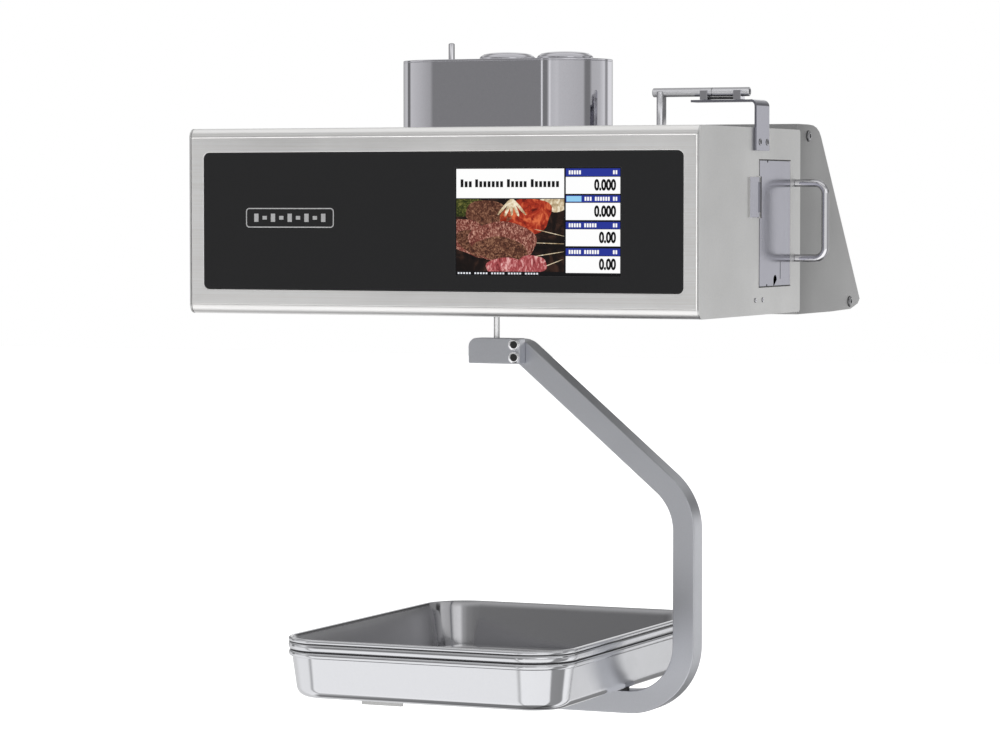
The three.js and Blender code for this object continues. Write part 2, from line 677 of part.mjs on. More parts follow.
// The frame of the slanted face: +Z out of the face, +Y up along it, origin a distance up from its foot.
function faceMatrix(x, along) {
  const spot = FACE_FOOT.clone().addScaledVector(upFace, along);
  const up = new THREE.Vector3(0, upFace.x, upFace.y);
  const out = new THREE.Vector3(0, upFace.y, -upFace.x);
  return new THREE.Matrix4().makeBasis(up.clone().cross(out), up, out).setPosition(x, spot.x, spot.y);
}

function onFace(x, along) {
  const group = new THREE.Group();
  group.applyMatrix4(faceMatrix(x, along));
  housing.add(group);
  return group;
}

// Moves a solid drawn on the face into the housing's frame, so that it can cut the console.
function fromFace(shape, x, along) {
  return shape.transform(faceMatrix(x, along).elements);
}

function consoleShell() {
  const half = CONSOLE.halfWidth;
  const wall = CONSOLE.wall;
  const spigot = SIDE - SHEET - GAP; // a collar that reaches into the open back of the housing
  const low = SHEET + GAP;
  const high = housingTop - SHEET - GAP;
  const faceOpening = (width, height) => block(-width / 2, width / 2, -height / 2, height / 2, -9, 9);
  const window = faceOpening(TOUCH.width + 2 * GAP, TOUCH.height + 2 * GAP);
  const slot = faceOpening(EXIT_SLOT.width, EXIT_SLOT.height);
  const openings = [
    prismX(consoleOutline(wall), -half + wall, half - wall),
    block(-spigot + wall, spigot - wall, BACK - 7, BACK, low + wall, high - wall),
    block(
      -SERVICE_OPENING.half, SERVICE_OPENING.half,
      BACK - 7, BACK + 12,
      SERVICE_OPENING.bottom, SERVICE_OPENING.top,
    ),
    fromFace(window, TOUCH.x, TOUCH_ALONG),
    fromFace(slot, EXIT_SLOT.x, EXIT_SLOT.along),
    fromFace(bar(Z_AXIS, BUTTON.radius + GAP, 18, 0, 0, -9, 32), BUTTON.x, BUTTON.along),
    bar(Z_AXIS, GLAND.radius + GAP, 12, GLAND.x, GLAND.y, CONSOLE.bottom - 6, 24),
  ];
  for (let row = 0; row < VENT.rows; row += 1) {
    const y = VENT.from + row * VENT.pitch;
    openings.push(block(-VENT.half, VENT.half, y, y + VENT.width, CONSOLE.bottom - 3, CONSOLE.bottom + 5));
  }
  for (const side of [-1, 1]) {
    for (const [y, z] of consoleScrews) {
      openings.push(bar(X_AXIS, SCREW_HOLE, 16, side * half - 8, y, z, 12));
    }
  }
  const collar = block(-spigot, spigot, BACK - 5, BACK + 1, low, high);
  return cut(join(prismX(consoleOutline(0), -half, half), collar), ...openings);
}

function touchGlass() {
  const outline = roundedRectangle(TOUCH.width, TOUCH.height, 2);
  const w = TOUCH.screenWidth / 2 + GAP;
  const h = TOUCH.screenHeight / 2 + GAP;
  return cut(prismZ(outline, -TOUCH.thickness, 0, 6), block(-w, w, -h, h, -9, 9));
}

function operatorDisplay() {
  const w = TOUCH.screenWidth / 2;
  const h = TOUCH.screenHeight / 2;
  const back = -TOUCH.thickness - GAP;
  return join(block(-w, w, -h, h, back - 1, -0.3), block(-w - 6, w + 6, -h - 6, h + 6, back - 8, back));
}

function powerButton() {
  const collar = -CONSOLE.wall - GAP - BUTTON.collar;
  return join(
    bar(Z_AXIS, BUTTON.radius, BUTTON.rise - collar, 0, 0, collar, 28),
    bar(Z_AXIS, BUTTON.radius + BUTTON.flange, BUTTON.collar, 0, 0, collar, 20),
  );
}

function cableGland() {
  const { x, y, radius, nut, bore } = GLAND;
  const z = CONSOLE.bottom;
  return cut(
    join(bar(Z_AXIS, radius, 12, x, y, z - 4, 24), bar(Z_AXIS, nut, 5, x, y, z - 5.3, 6)),
    bar(Z_AXIS, bore, 24, x, y, z - 10, 20),
  );
}

// ---- Side fittings ------------------------------------------------------------------------------
const strapScrews = [
  [15.6, 150.5],
  [33.6, 150.5],
];
const sideScrews = [
  [10.7, 13],
  [29.5, 13],
];
const consoleScrews = [
  [159, 158],
  [278, 5.6],
];

// One strap: up the side of the housing, over a bend, and in across the top as a shelf.
function signBracket() {
  const x = SIDE + GAP + SIGN.thickness / 2;
  const z = SIGN.plateZ;
  const line = [
    new THREE.Vector2(x, SIGN.bottom),
    new THREE.Vector2(x, z),
    new THREE.Vector2(SIGN.plateEnd, z),
  ];
  const body = prismY(strip(line, [5], SIGN.thickness), SIGN.front, SIGN.back);
  const wide = block(SIGN.plateEnd - 1, SIDE - 3, SIGN.front - 1, RAIL.y - 8, z - 3, z + 3);
  const rear = block(SIGN.plateEnd - 1, SIDE - 3, RAIL.y + 8, SIGN.back + 1, z - 3, z + 3);
  const holes = strapScrews.map(([y, hz]) => bar(X_AXIS, SCREW_HOLE, 12, SIDE - 4, y, hz, 12));
  return cut(body, wide, rear, ...holes);
}

function railClip(x) {
  const { halfWidth, halfDepth, above } = CLIP;
  const foot = SIGN.plateZ + SIGN.thickness / 2 + 0.2;
  const y = RAIL.y;
  const base = block(x - halfWidth, x + halfWidth, y - halfDepth, y + halfDepth, foot, RAIL.z + above);
  return cut(base, bar(X_AXIS, RAIL.radius + 0.1, 20, x - 10, RAIL.y, RAIL.z, 24));
}

function signRail() {
  const length = RAIL.to - RAIL.from;
  return cut(
    bar(X_AXIS, RAIL.radius, length, RAIL.from, RAIL.y, RAIL.z, 24),
    bar(X_AXIS, RAIL.bore, 12, RAIL.to - 11, RAIL.y, RAIL.z, 20),
  );
}

function signPost() {
  const halfX = POST.width / 2;
  const halfY = POST.depth / 2;
  const top = RAIL.z + 1;
  const tenon = POST.tenon;
  return cut(
    join(
      block(POST.x - halfX, POST.x + halfX, RAIL.y - halfY, RAIL.y + halfY, housingTop + 0.2, top),
      block(POST.x - tenon, POST.x + tenon, RAIL.y - tenon, RAIL.y + tenon, housingTop - 6, housingTop + 3),
    ),
    bar(X_AXIS, RAIL.radius + 0.1, 20, POST.x - 10, RAIL.y, RAIL.z, 24),
  );
}

function grabHandle() {
  const reach = SIDE + HANDLE.reach;
  const bend = HANDLE.bend;
  const start = SIDE - 8;
  const arc = (from, over, to) => new THREE.QuadraticBezierCurve3(from, over, to);
  const line = new THREE.CurvePath();
  const at = (x, z) => new THREE.Vector3(x, HANDLE.y, z);
  line.add(new THREE.LineCurve3(at(SIDE + 0.2, HANDLE.bottom), at(reach - bend, HANDLE.bottom)));
  line.add(arc(at(reach - bend, HANDLE.bottom), at(reach, HANDLE.bottom), at(reach, HANDLE.bottom + bend)));
  line.add(new THREE.LineCurve3(at(reach, HANDLE.bottom + bend), at(reach, HANDLE.top - bend)));
  line.add(arc(at(reach, HANDLE.top - bend), at(reach, HANDLE.top), at(reach - bend, HANDLE.top)));
  line.add(new THREE.LineCurve3(at(reach - bend, HANDLE.top), at(SIDE + 0.2, HANDLE.top)));
  const round = new THREE.Shape().absarc(0, 0, HANDLE.radius, 0, Math.PI * 2);
  const tube = solid(new THREE.ExtrudeGeometry(round, { steps: 30, extrudePath: line, curveSegments: 6 }));
  const stud = (z) => bar(X_AXIS, HANDLE.stud, 12, start, HANDLE.y, z, 12);
  return join(tube, stud(HANDLE.bottom), stud(HANDLE.top));
}

function handleNut(z) {
  const x = SIDE - SHEET - GAP - 3.5;
  const bore = bar(X_AXIS, HANDLE.stud + 0.05, 8, x - 2, HANDLE.y, z, 12);
  return cut(bar(X_AXIS, 4.4, 3.5, x, HANDLE.y, z, 6), bore);
}

// ---- Printer and its door -----------------------------------------------------------------------
const doorPlane = SIDE - SHEET / 2;

function hingePlate() {
  const x0 = SIDE + 0.2;
  const x1 = SIDE + 1.2;
  const y1 = HINGE.y + HINGE_EAR.reach;
  const lowerEar = HINGE.bottom + HINGE_EAR.height;
  const upperEar = HINGE.top - HINGE_EAR.height;
  const plate = block(x0, x1, HINGE.plateFront, y1, HINGE.bottom, HINGE.top);
  const clear = block(SIDE, SIDE + 3, HINGE.y - 4, HINGE.y + 6, lowerEar, upperEar);
  const ears = [HINGE.bottom, upperEar].map((z) =>
    block(doorPlane - 2.2, x1, HINGE.y - 2.5, y1, z, z + HINGE_EAR.height),
  );
  const bore = bar(Z_AXIS, HINGE.pin + 0.05, 60, doorPlane, HINGE.y, HINGE.bottom - 10, 20);
  return cut(join(plate, ...ears), clear, bore);
}

function hingePin() {
  return bar(Z_AXIS, HINGE.pin, HINGE.top - HINGE.bottom - 1, doorPlane, HINGE.y, HINGE.bottom + 0.5, 20);
}

function printerDoor() {
  const plate = block(SIDE - SHEET, SIDE, DOOR.front, DOOR.back, DOOR.bottom, DOOR.top);
  const z0 = HINGE.bottom + HINGE_EAR.height + GAP;
  const z1 = HINGE.top - HINGE_EAR.height - GAP;
  const barrel = bar(Z_AXIS, HINGE.barrel, z1 - z0, doorPlane, HINGE.y, z0, 20);
  const web = block(SIDE - SHEET, SIDE, HINGE.y, DOOR.front + 1, z0, z1);
  const { y, radius, height } = THUMB;
  const thumb = new THREE.Shape();
  thumb.moveTo(y + radius, DOOR.bottom - 1);
  thumb.absarc(y, DOOR.bottom + height, radius, 0, Math.PI);
  thumb.lineTo(y - radius, DOOR.bottom - 1);
  thumb.closePath();
  const notch = (y0, y1, z0, z1) => block(SIDE - 5, SIDE + 5, y0, y1, z0, z1);
  return cut(
    join(plate, barrel, web),
    bar(Z_AXIS, HINGE.pin + 0.1, 60, doorPlane, HINGE.y, HINGE.bottom - 10, 20),
    prismX(thumb, SIDE - 5, SIDE + 5, 8),
    notch(...DOOR_SLIT),
    notch(40, 42.4, DOOR.top - NOTCH_DEPTH, DOOR.top + 1),
    notch(38.6, 41, DOOR.bottom - 1, DOOR.bottom + NOTCH_DEPTH),
  );
}

function printerFrame() {
  return cut(
    join(
      block(PRINTER.plateX, PRINTER.plateX + 3, PRINTER.front, PRINTER.back, PRINTER.bottom, PRINTER.top),
      block(PRINTER.plateX, PRINTER.right, PRINTER.front, PRINTER.back, PRINTER.bottom, PRINTER.bottom + 2),
    ),
    bar(X_AXIS, PLATEN.shaft + 0.15, 20, PRINTER.plateX - 8, PLATEN.y, PLATEN.z, 24),
  );
}

function rollSpindle() {
  return bar(X_AXIS, ROLL.bore - 0.3, 80, PRINTER.plateX + 3 + GAP, ROLL.y, ROLL.z, 32);
}

function ring(outer, inner, x0, x1, y, z, segments = 32) {
  return cut(
    bar(X_AXIS, outer, x1 - x0, x0, y, z, segments),
    bar(X_AXIS, inner, x1 - x0 + 2, x0 - 1, y, z, segments),
  );
}

function printHead() {
  const foot = PLATEN.z + PLATEN.radius + GAP;
  const { front, back, top } = PRINT_HEAD;
  return block(ROLL.from, ROLL.to, PLATEN.y - front, PLATEN.y + back, foot, PLATEN.z + top);
}

// ---- Electronics --------------------------------------------------------------------------------
function mainBoard() {
  return join(block(...BOARD.plate), ...BOARD.parts.map((part) => block(...part)));
}

function powerSupply() {
  return block(...POWER_SUPPLY);
}

// ---- Building the named meshes ------------------------------------------------------------------
function addScrew(name, x, y, z, side, headRadius, shankLength, look) {
  const group = new THREE.Group();
  group.position.set(x, y, z);
  group.rotation.y = (side * Math.PI) / 2;
  housing.add(group);
  add(name, socketScrew(headRadius, 1.6, 1.5, shankLength), look, group);
}

add("housing_shell", housingShell(), satinSteel());
add("front_bezel", frontBezel(), brushedSteel());
add("front_glass", frontGlass(), blackGlass());
add("customer_display", customerDisplay(), screenFace());

add("hanger_cover", hangerCover(), polishedSteel());
add("hanger_top_plate", hangerTopPlate(), polishedSteel());
add("pole_boss", domedBoss(0), polishedSteel());
add("conduit_boss", domedBoss(BOSS.conduitX), polishedSteel());
add("suspension_stem", suspensionStem(), castAluminium());
add("cable_conduit", conduit(), castAluminium());
add("stem_nut", stemNut(), blackSteel());
add("hanger_pin", hangerPin(), polishedSteel());
add("inner_chassis", innerChassis(), satinSteel());

add("load_cell", loadCell(), castAluminium());
add("load_cell_bracket", cellBracket(), castAluminium());
add("load_rod", loadRod(), polishedSteel());
add("load_nut", loadNut(), polishedSteel());
add("rod_seal", rodSeal(), rubber());
add("clamp_block", clampBlock(), anodised());
add("pan_arm", panArm(), anodised());
for (const [i, z] of BLOCK_SCREW.zs.entries()) {
  const shape = socketScrew(BLOCK_SCREW.radius, BLOCK_SCREW.height, 2, 22);
  add(`clamp_screw_${["upper", "lower"][i]}`, shape, polishedSteel(), blockScrew(z));
}
add("pan_support", panSupport(), satinSteel());
for (const [i, spot] of supportScrews.entries()) {
  add(`support_screw_${["left", "right"][i]}`, supportScrew(spot), blackSteel());
}
add("outer_pan", outerPan(), polishedSteel());
add("inner_pan", innerPan(), polishedSteel());

add("console_shell", consoleShell(), satinSteel());
add("touch_glass", touchGlass(), blackGlass(), onFace(TOUCH.x, TOUCH_ALONG));
add("operator_display", operatorDisplay(), screenFace(), onFace(TOUCH.x, TOUCH_ALONG));
add("power_button", powerButton(), blackPlastic(), onFace(BUTTON.x, BUTTON.along));
add("cable_gland", cableGland(), blackPlastic());
for (const side of [-1, 1]) {
  for (const [i, [y, z]] of consoleScrews.entries()) {
    const name = `console_screw_${side < 0 ? "left" : "right"}_${["top", "bottom"][i]}`;
    addScrew(name, side * (CONSOLE.halfWidth + 0.2), y, z, side, 3.4, 6, polishedSteel());
  }
}

add("sign_bracket", signBracket(), polishedDoor());
add("sign_post", signPost(), polishedSteel());
for (const [i, x] of CLIP.xs.entries()) {
  add(`rail_clip_${["left", "right"][i]}`, railClip(x), polishedSteel());
}
add("sign_rail", signRail(), polishedSteel());
for (const [i, [y, z]] of strapScrews.entries()) {
  const x = SIDE + GAP + SIGN.thickness + 0.2;
  addScrew(`strap_screw_${["front", "rear"][i]}`, x, y, z, 1, 2.6, 7, polishedSteel());
}
for (const [i, [y, z]] of sideScrews.entries()) {
  addScrew(`side_screw_${["front", "rear"][i]}`, SIDE + 0.2, y, z, 1, 2.4, 5, polishedSteel());
}
add("grab_handle", grabHandle(), polishedSteel());
for (const [i, z] of [HANDLE.bottom, HANDLE.top].entries()) {
  add(`handle_nut_${["lower", "upper"][i]}`, handleNut(z), blackSteel());
}

add("hinge_plate", hingePlate(), polishedDoor());
add("hinge_pin", hingePin(), polishedSteel());
add("printer_door", printerDoor(), polishedDoor());
add("printer_frame", printerFrame(), satinSteel());
add("roll_spindle", rollSpindle(), blackPlastic());
add("label_core", ring(ROLL.core, ROLL.bore, ROLL.from, ROLL.to, ROLL.y, ROLL.z), coreCard());
add("label_roll", ring(ROLL.radius, ROLL.core + 0.2, ROLL.from, ROLL.to, ROLL.y, ROLL.z), labelPaper());
add(
  "platen_shaft",
  bar(X_AXIS, PLATEN.shaft, ROLL.to + 8 - PRINTER.plateX, PRINTER.plateX, PLATEN.y, PLATEN.z, 24),
  polishedSteel(),
);
add(
  "platen_roller",
  ring(PLATEN.radius, PLATEN.shaft + 0.1, ROLL.from, ROLL.to, PLATEN.y, PLATEN.z, 24),
  rubber(),
);
add("print_head", printHead(), blackPlastic());

add("main_board", mainBoard(), boardGreen());
add("power_supply", powerSupply(), satinSteel());

export default scale;
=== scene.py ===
"""Looks for the hanging price scale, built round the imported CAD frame. Metres, CAD frame."""

import math
import random

import bpy
from mathutils import Matrix, Vector


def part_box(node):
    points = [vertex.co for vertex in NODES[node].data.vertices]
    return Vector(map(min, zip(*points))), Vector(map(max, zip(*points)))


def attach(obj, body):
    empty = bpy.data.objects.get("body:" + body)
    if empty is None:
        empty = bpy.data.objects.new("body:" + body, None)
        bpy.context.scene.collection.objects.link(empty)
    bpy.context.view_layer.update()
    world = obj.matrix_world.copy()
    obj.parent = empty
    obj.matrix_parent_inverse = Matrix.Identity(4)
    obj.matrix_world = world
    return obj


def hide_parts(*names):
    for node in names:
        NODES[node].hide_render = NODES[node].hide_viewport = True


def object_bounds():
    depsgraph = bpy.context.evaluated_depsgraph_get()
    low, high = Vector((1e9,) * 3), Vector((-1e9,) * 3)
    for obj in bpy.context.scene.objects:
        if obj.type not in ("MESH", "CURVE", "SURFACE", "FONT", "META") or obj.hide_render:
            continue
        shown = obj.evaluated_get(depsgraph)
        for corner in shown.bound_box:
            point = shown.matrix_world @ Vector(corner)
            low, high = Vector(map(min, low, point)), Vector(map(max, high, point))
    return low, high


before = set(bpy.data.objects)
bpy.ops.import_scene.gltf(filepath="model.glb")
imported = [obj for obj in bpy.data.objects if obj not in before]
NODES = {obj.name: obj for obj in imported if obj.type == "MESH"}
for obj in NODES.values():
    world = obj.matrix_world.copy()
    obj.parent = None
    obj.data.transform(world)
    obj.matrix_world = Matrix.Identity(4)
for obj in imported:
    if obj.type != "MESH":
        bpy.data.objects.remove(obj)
REST_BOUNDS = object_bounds()
MM = 0.001


# ---- Node graphs ----
class Graph:
    """The shader nodes of one material or world."""

    def __init__(self, owner):
        owner.use_nodes = True
        self.tree = owner.node_tree
        self.tree.nodes.clear()

    def node(self, kind, inputs=(), **settings):
        """A new node, with its settings and its inputs, which are values or other nodes' sockets."""
        made = self.tree.nodes.new(kind)
        for key, value in settings.items():
            setattr(made, key, value)
        for key, value in dict(inputs).items():
            self.feed(value, made.inputs[key])
        return made

    def feed(self, value, socket):
        if isinstance(value, (int, float)):
            socket.default_value = value
        elif isinstance(value, tuple):
            is_colour = len(socket.default_value) == 4
            socket.default_value = (*value, 1.0) if is_colour else value
        else:
            self.tree.links.new(value, socket)

    def math(self, operation, a, b=0.0, clamp=False):
        return self.node("ShaderNodeMath", {0: a, 1: b}, operation=operation, use_clamp=clamp).outputs[0]

    def vector(self, operation, a, b=(0.0, 0.0, 0.0)):
        return self.node("ShaderNodeVectorMath", {0: a, 1: b}, operation=operation).outputs

    def split(self, vector):
        return self.node("ShaderNodeSeparateXYZ", {0: vector}).outputs

    def spread(self, value, low, high, start=0.3, end=0.7, **settings):
        """A value between start and end, spread between low and high. Noise lies round a half."""
        ends = {"Value": value, "From Min": start, "From Max": end, "To Min": low, "To Max": high}
        return self.node("ShaderNodeMapRange", ends, **settings).outputs["Result"]

    def mix(self, factor, a, b):
        return self.node("ShaderNodeMix", {"Factor": factor, 6: a, 7: b}, data_type="RGBA").outputs[2]

    def ramp(self, value, stops, interpolation="LINEAR"):
        made = self.node("ShaderNodeValToRGB", {"Fac": value})
        made.color_ramp.interpolation = interpolation
        elements = made.color_ramp.elements
        while len(elements) < len(stops):
            elements.new(0.5)
        for element, (place, level) in zip(elements, stops):
            element.position = place
            element.color = (*level, 1.0) if isinstance(level, tuple) else (level, level, level, 1.0)
        return made.outputs["Color"]


class Look(Graph):
    """A material graph round one Principled shader, with its textures placed in object metres."""

    def __init__(self, name):
        self.material = bpy.data.materials.new(name)
        super().__init__(self.material)
        self.bsdf = self.node("ShaderNodeBsdfPrincipled")
        self.node("ShaderNodeOutputMaterial", {"Surface": self.bsdf.outputs["BSDF"]})
        self.place = self.node("ShaderNodeTexCoord").outputs["Object"]

    def set(self, **values):
        for key, value in values.items():
            self.feed(value, self.bsdf.inputs[key.replace("_", " ")])

    def noise(self, scale, detail=2.0, roughness=0.5, distortion=0.0):
        """Noise with one scale, or with a scale for each axis where it is drawn out."""
        stretch = scale if isinstance(scale, tuple) else (scale, scale, scale)
        place = self.node("ShaderNodeMapping", {"Vector": self.place, "Scale": stretch}).outputs["Vector"]
        values = {"Vector": place, "Scale": 1.0, "Detail": detail, "Roughness": roughness}
        return self.node("ShaderNodeTexNoise", {**values, "Distortion": distortion}).outputs["Fac"]

    def normal(self, output="Normal"):
        return self.node("ShaderNodeNewGeometry").outputs[output]

    def past(self, value, start, gain):
        """Nought up to a start, then rising to one."""
        return self.math("MULTIPLY", self.math("SUBTRACT", value, start), gain, clamp=True)

    def edges(self, radius, gain=5.0):
        """One along a mesh's sharp edges, fading to nought within the radius."""
        rounded = self.node("ShaderNodeBevel", {"Radius": radius}, samples=4).outputs["Normal"]
        facing = self.vector("DOT_PRODUCT", rounded, self.normal())["Value"]
        return self.math("MULTIPLY", self.math("SUBTRACT", 1.0, facing), gain, clamp=True)

    def turned_right(self):
        """One on faces turned squarely to the right, nought on all others."""
        return self.past(self.split(self.normal())["X"], 0.955, 60.0)

    def outline(self):
        """One where a face turns away from the viewer, as at the two sides of a rod."""
        return self.past(self.node("ShaderNodeLayerWeight", {"Blend": 0.5}).outputs["Facing"], 0.13, 6.0)

    def bump(self, height, strength, distance=0.0002):
        values = {"Strength": strength, "Distance": distance, "Height": height}
        self.set(Normal=self.node("ShaderNodeBump", values).outputs["Normal"])

    def glow(self, colour):
        """A screen's light under a plain dark gloss."""
        self.set(Base_Color=(0.0, 0.0, 0.0), Roughness=0.25, Specular_IOR_Level=0.2)
        self.set(Emission_Color=colour, Emission_Strength=1.0)


GRAIN_X = (6.0, 1300.0, 1300.0)
GRAIN_Z = (1300.0, 1300.0, 6.0)
EVEN = 700.0


def shade(colour, factor):
    return tuple(min(channel * factor, 1.0) for channel in colour)


def metal(
    name, colour, rough, grain=EVEN, contrast=0.02, cloud=0.015, bump=0.01, edge_wear_and_sheen=0.12, edge_wear_and_sheen_gain=1.35,
    side_blur=0.0, rim=0.0, satin=0.0
):
    """Steel or aluminium: a directional grain, clouds of handling in the gloss, lighter edges that are partly
    wear and partly a painted highlight, and, with a rim, sides darkened as a painted dark reflection.
    """
    look = Look(name)
    lines = look.noise(grain, detail=3.0, roughness=0.65)
    clouds, marks = look.noise(11.0, detail=3.0), look.noise(160.0)
    edge = look.edges(0.7 * MM)
    dull, bright = shade(colour, 1.0 - contrast), shade(colour, 1.0 + contrast)
    base = look.mix(look.spread(lines, 0.0, 1.0), dull, bright)
    # Lighter edges: partly wear, partly a painted highlight.
    base = look.mix(look.math("MULTIPLY", edge, edge_wear_and_sheen), base, shade(colour, edge_wear_and_sheen_gain))
    gloss = look.spread(clouds, rough - cloud, rough + cloud)
    gloss = look.math("ADD", gloss, look.spread(marks, -0.012, 0.012))
    gloss = look.math("ADD", gloss, look.math("MULTIPLY", edge, 0.06), clamp=True)
    if side_blur:
        gloss = look.math("ADD", gloss, look.math("MULTIPLY", look.turned_right(), side_blur))
    # Sides turning away from the viewer darkened: a painted dark reflection.
    if rim:
        base = look.mix(look.math("MULTIPLY", look.outline(), rim), base, shade(colour, 0.3))
    look.set(Base_Color=base, Metallic=1.0 - satin, Roughness=gloss)
    look.bump(lines, bump)
    return look.material


def plastic(name, colour, rough, grain=900.0, bump=0.1, coat=0.0, edge_wear_and_sheen=0.25):
    """Moulded plastic, rubber or paint: a fine skin texture, uneven gloss and paler edges, partly rubbed and
    partly a painted sheen.
    """
    look = Look(name)
    skin, clouds = look.noise(grain), look.noise(35.0, detail=3.0)
    base = look.mix(look.spread(clouds, 0.0, 1.0), shade(colour, 0.88), shade(colour, 1.12))
    # Paler edges: partly rubbing, partly a painted sheen.
    base = look.mix(look.math("MULTIPLY", look.edges(0.5 * MM), edge_wear_and_sheen), base, shade(colour, 2.2))
    look.set(Base_Color=base, Roughness=look.spread(clouds, rough - 0.06, rough + 0.06), Coat_Weight=coat)
    look.bump(skin, bump, 0.00008)
    return look.material


def lit(name, colour):
    """A patch of a lit screen: fine pixel rows over an even glow."""
    look = Look(name)
    rows = look.noise(2400.0, detail=0.0)
    look.glow(look.mix(look.spread(rows, 0.0, 1.0), shade(colour, 0.97), colour))
    return look.material


def food(name, deep, middle, light, scale, stretch=1.0):
    """A painted food surface: soft marbling between three shades, lit as on a screen."""
    look = Look(name)
    marbling = look.noise((scale, scale, scale * stretch), detail=5.0, roughness=0.6, distortion=1.2)
    look.glow(look.ramp(marbling, [(0.32, deep), (0.5, middle), (0.66, light)]))
    return look.material


def glass_look():
    """Back-painted glass: deep black with a hard gloss, a breath of smears, and edges lightened as a painted
    highlight.
    """
    look = Look("black_glass")
    smears = look.noise((22.0, 60.0, 14.0), detail=4.0, distortion=0.6)
    # Lighter edges: a painted highlight.
    edge = look.math("MULTIPLY", look.edges(0.6 * MM, gain=3.0), 0.5)
    base = look.mix(edge, (0.0105, 0.0105, 0.011), (0.14, 0.14, 0.145))
    look.set(Base_Color=base, Roughness=look.spread(smears, 0.05, 0.11), Specular_IOR_Level=0.28)
    look.bump(smears, 0.02, 0.0001)
    return look.material


def console_look():
    """Satin steel whose end panels darken towards the housing they stand behind, as painted shade."""
    look = Look("console_steel")
    near, far = (corner.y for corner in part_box("console_shell"))
    depth = look.math("SUBTRACT", look.split(look.place)["Y"], near)
    depth = look.math("DIVIDE", depth, far - near, clamp=True)
    sideways = look.math("ABSOLUTE", look.split(look.normal("True Normal"))["X"])
    full = (0.50, 0.50, 0.50)
    # Painted shade: the end panels darker near the housing, lighter further back.
    panel = look.ramp(depth, [(0.0, shade(full, 0.44)), (0.3, shade(full, 0.62)), (0.9, shade(full, 0.86))])
    base = look.mix(look.math("GREATER_THAN", sideways, 0.9), full, panel)
    lines = look.noise(GRAIN_X, detail=3.0, roughness=0.65)
    base = look.mix(look.math("MULTIPLY", look.spread(lines, 0.0, 1.0), 0.1), base, shade(full, 1.2))
    # Lighter edges: a painted highlight.
    base = look.mix(look.math("MULTIPLY", look.edges(0.7 * MM), 0.5), base, shade(full, 1.6))
    look.set(Base_Color=base, Metallic=1.0, Roughness=look.spread(look.noise(11.0, detail=3.0), 0.36, 0.44))
    look.bump(lines, 0.06)
    return look.material


def paper_look():
    """Label stock: plain outside, with the wound layers showing as rings on the roll's ends."""
    look = Look("wound_labels")
    roll = Box("label_roll").middle
    away = look.vector("SUBTRACT", look.place, (0.0, roll.y, roll.z))["Vector"]
    radius = look.vector("LENGTH", look.vector("MULTIPLY", away, (0.0, 1.0, 1.0))["Vector"])["Value"]
    layers = look.math("SINE", look.math("MULTIPLY", radius, 9000.0))
    tone = look.math("ADD", look.math("MULTIPLY", layers, 0.12), look.noise(900.0, detail=3.0), clamp=True)
    look.set(Base_Color=look.mix(tone, (0.70, 0.68, 0.62), (0.84, 0.83, 0.80)), Roughness=0.8)
    look.bump(tone, 0.15, 0.0001)
    return look.material


# A pale plastic look for thin strips that are painted highlights along bright edges.
painted_highlight_look = plastic("painted_highlight_strip", (0.70, 0.69, 0.68), 0.3, bump=0.02)
front_steel = metal("front_steel", (0.98, 0.965, 0.945), 0.34, GRAIN_X, 0.06, cloud=0.04, bump=0.12, edge_wear_and_sheen=0.5)
side_steel = metal("side_steel", (0.66, 0.66, 0.655), 0.40, contrast=0.03, cloud=0.04, bump=0.05)
mirror_steel = metal("mirror_steel", (0.61, 0.605, 0.645), 0.06)
pan_steel = metal("pan_steel", (0.68, 0.685, 0.71), 0.085, contrast=0.015, bump=0.008, side_blur=0.16)
# A darker copy of the pan's steel for its inner walls and floor: painted shade.
pan_inside_painted_shade = metal("pan_inside_painted_shade", (0.44, 0.44, 0.455), 0.13, cloud=0.03, side_blur=0.24)
dark_steel = metal("dark_steel", (0.30, 0.30, 0.31), 0.22, EVEN, 0.03, 0.02, 0.02, edge_wear_and_sheen=0.6, edge_wear_and_sheen_gain=1.9)
door_steel = metal("door_steel", (0.305, 0.305, 0.352), 0.17, GRAIN_Z, contrast=0.03, cloud=0.03, bump=0.03)
anodised = metal(
    "anodised_aluminium", (0.56, 0.57, 0.605), 0.33, contrast=0.025, cloud=0.04, bump=0.05, edge_wear_and_sheen=0.8, edge_wear_and_sheen_gain=1.6
)
bright_steel = metal("bright_steel", (0.92, 0.92, 0.94), 0.10, cloud=0.02)
# The rod, handle and rail steels darken their sides through rim: a painted dark reflection.
rod_steel = metal("rod_steel", (0.93, 0.93, 0.94), 0.25, cloud=0.02, rim=1.0, satin=0.75)
handle_steel = metal("handle_steel", (0.84, 0.835, 0.87), 0.05, rim=0.8)
rail_steel = metal("rail_steel", (0.78, 0.78, 0.81), 0.10, rim=0.75, satin=0.25)
badge_silver = metal("badge_silver", (0.78, 0.78, 0.79), 0.3, contrast=0.06, cloud=0.04, bump=0.02)
cast_metal = metal("cast_aluminium", (0.48, 0.50, 0.52), 0.5, 240.0, contrast=0.08, cloud=0.04, bump=0.3)
black_steel = metal("blackened_steel", (0.035, 0.035, 0.038), 0.28, EVEN, 0.1, 0.04, 0.05, edge_wear_and_sheen=0.5)
console_steel, black_glass = console_look(), glass_look()
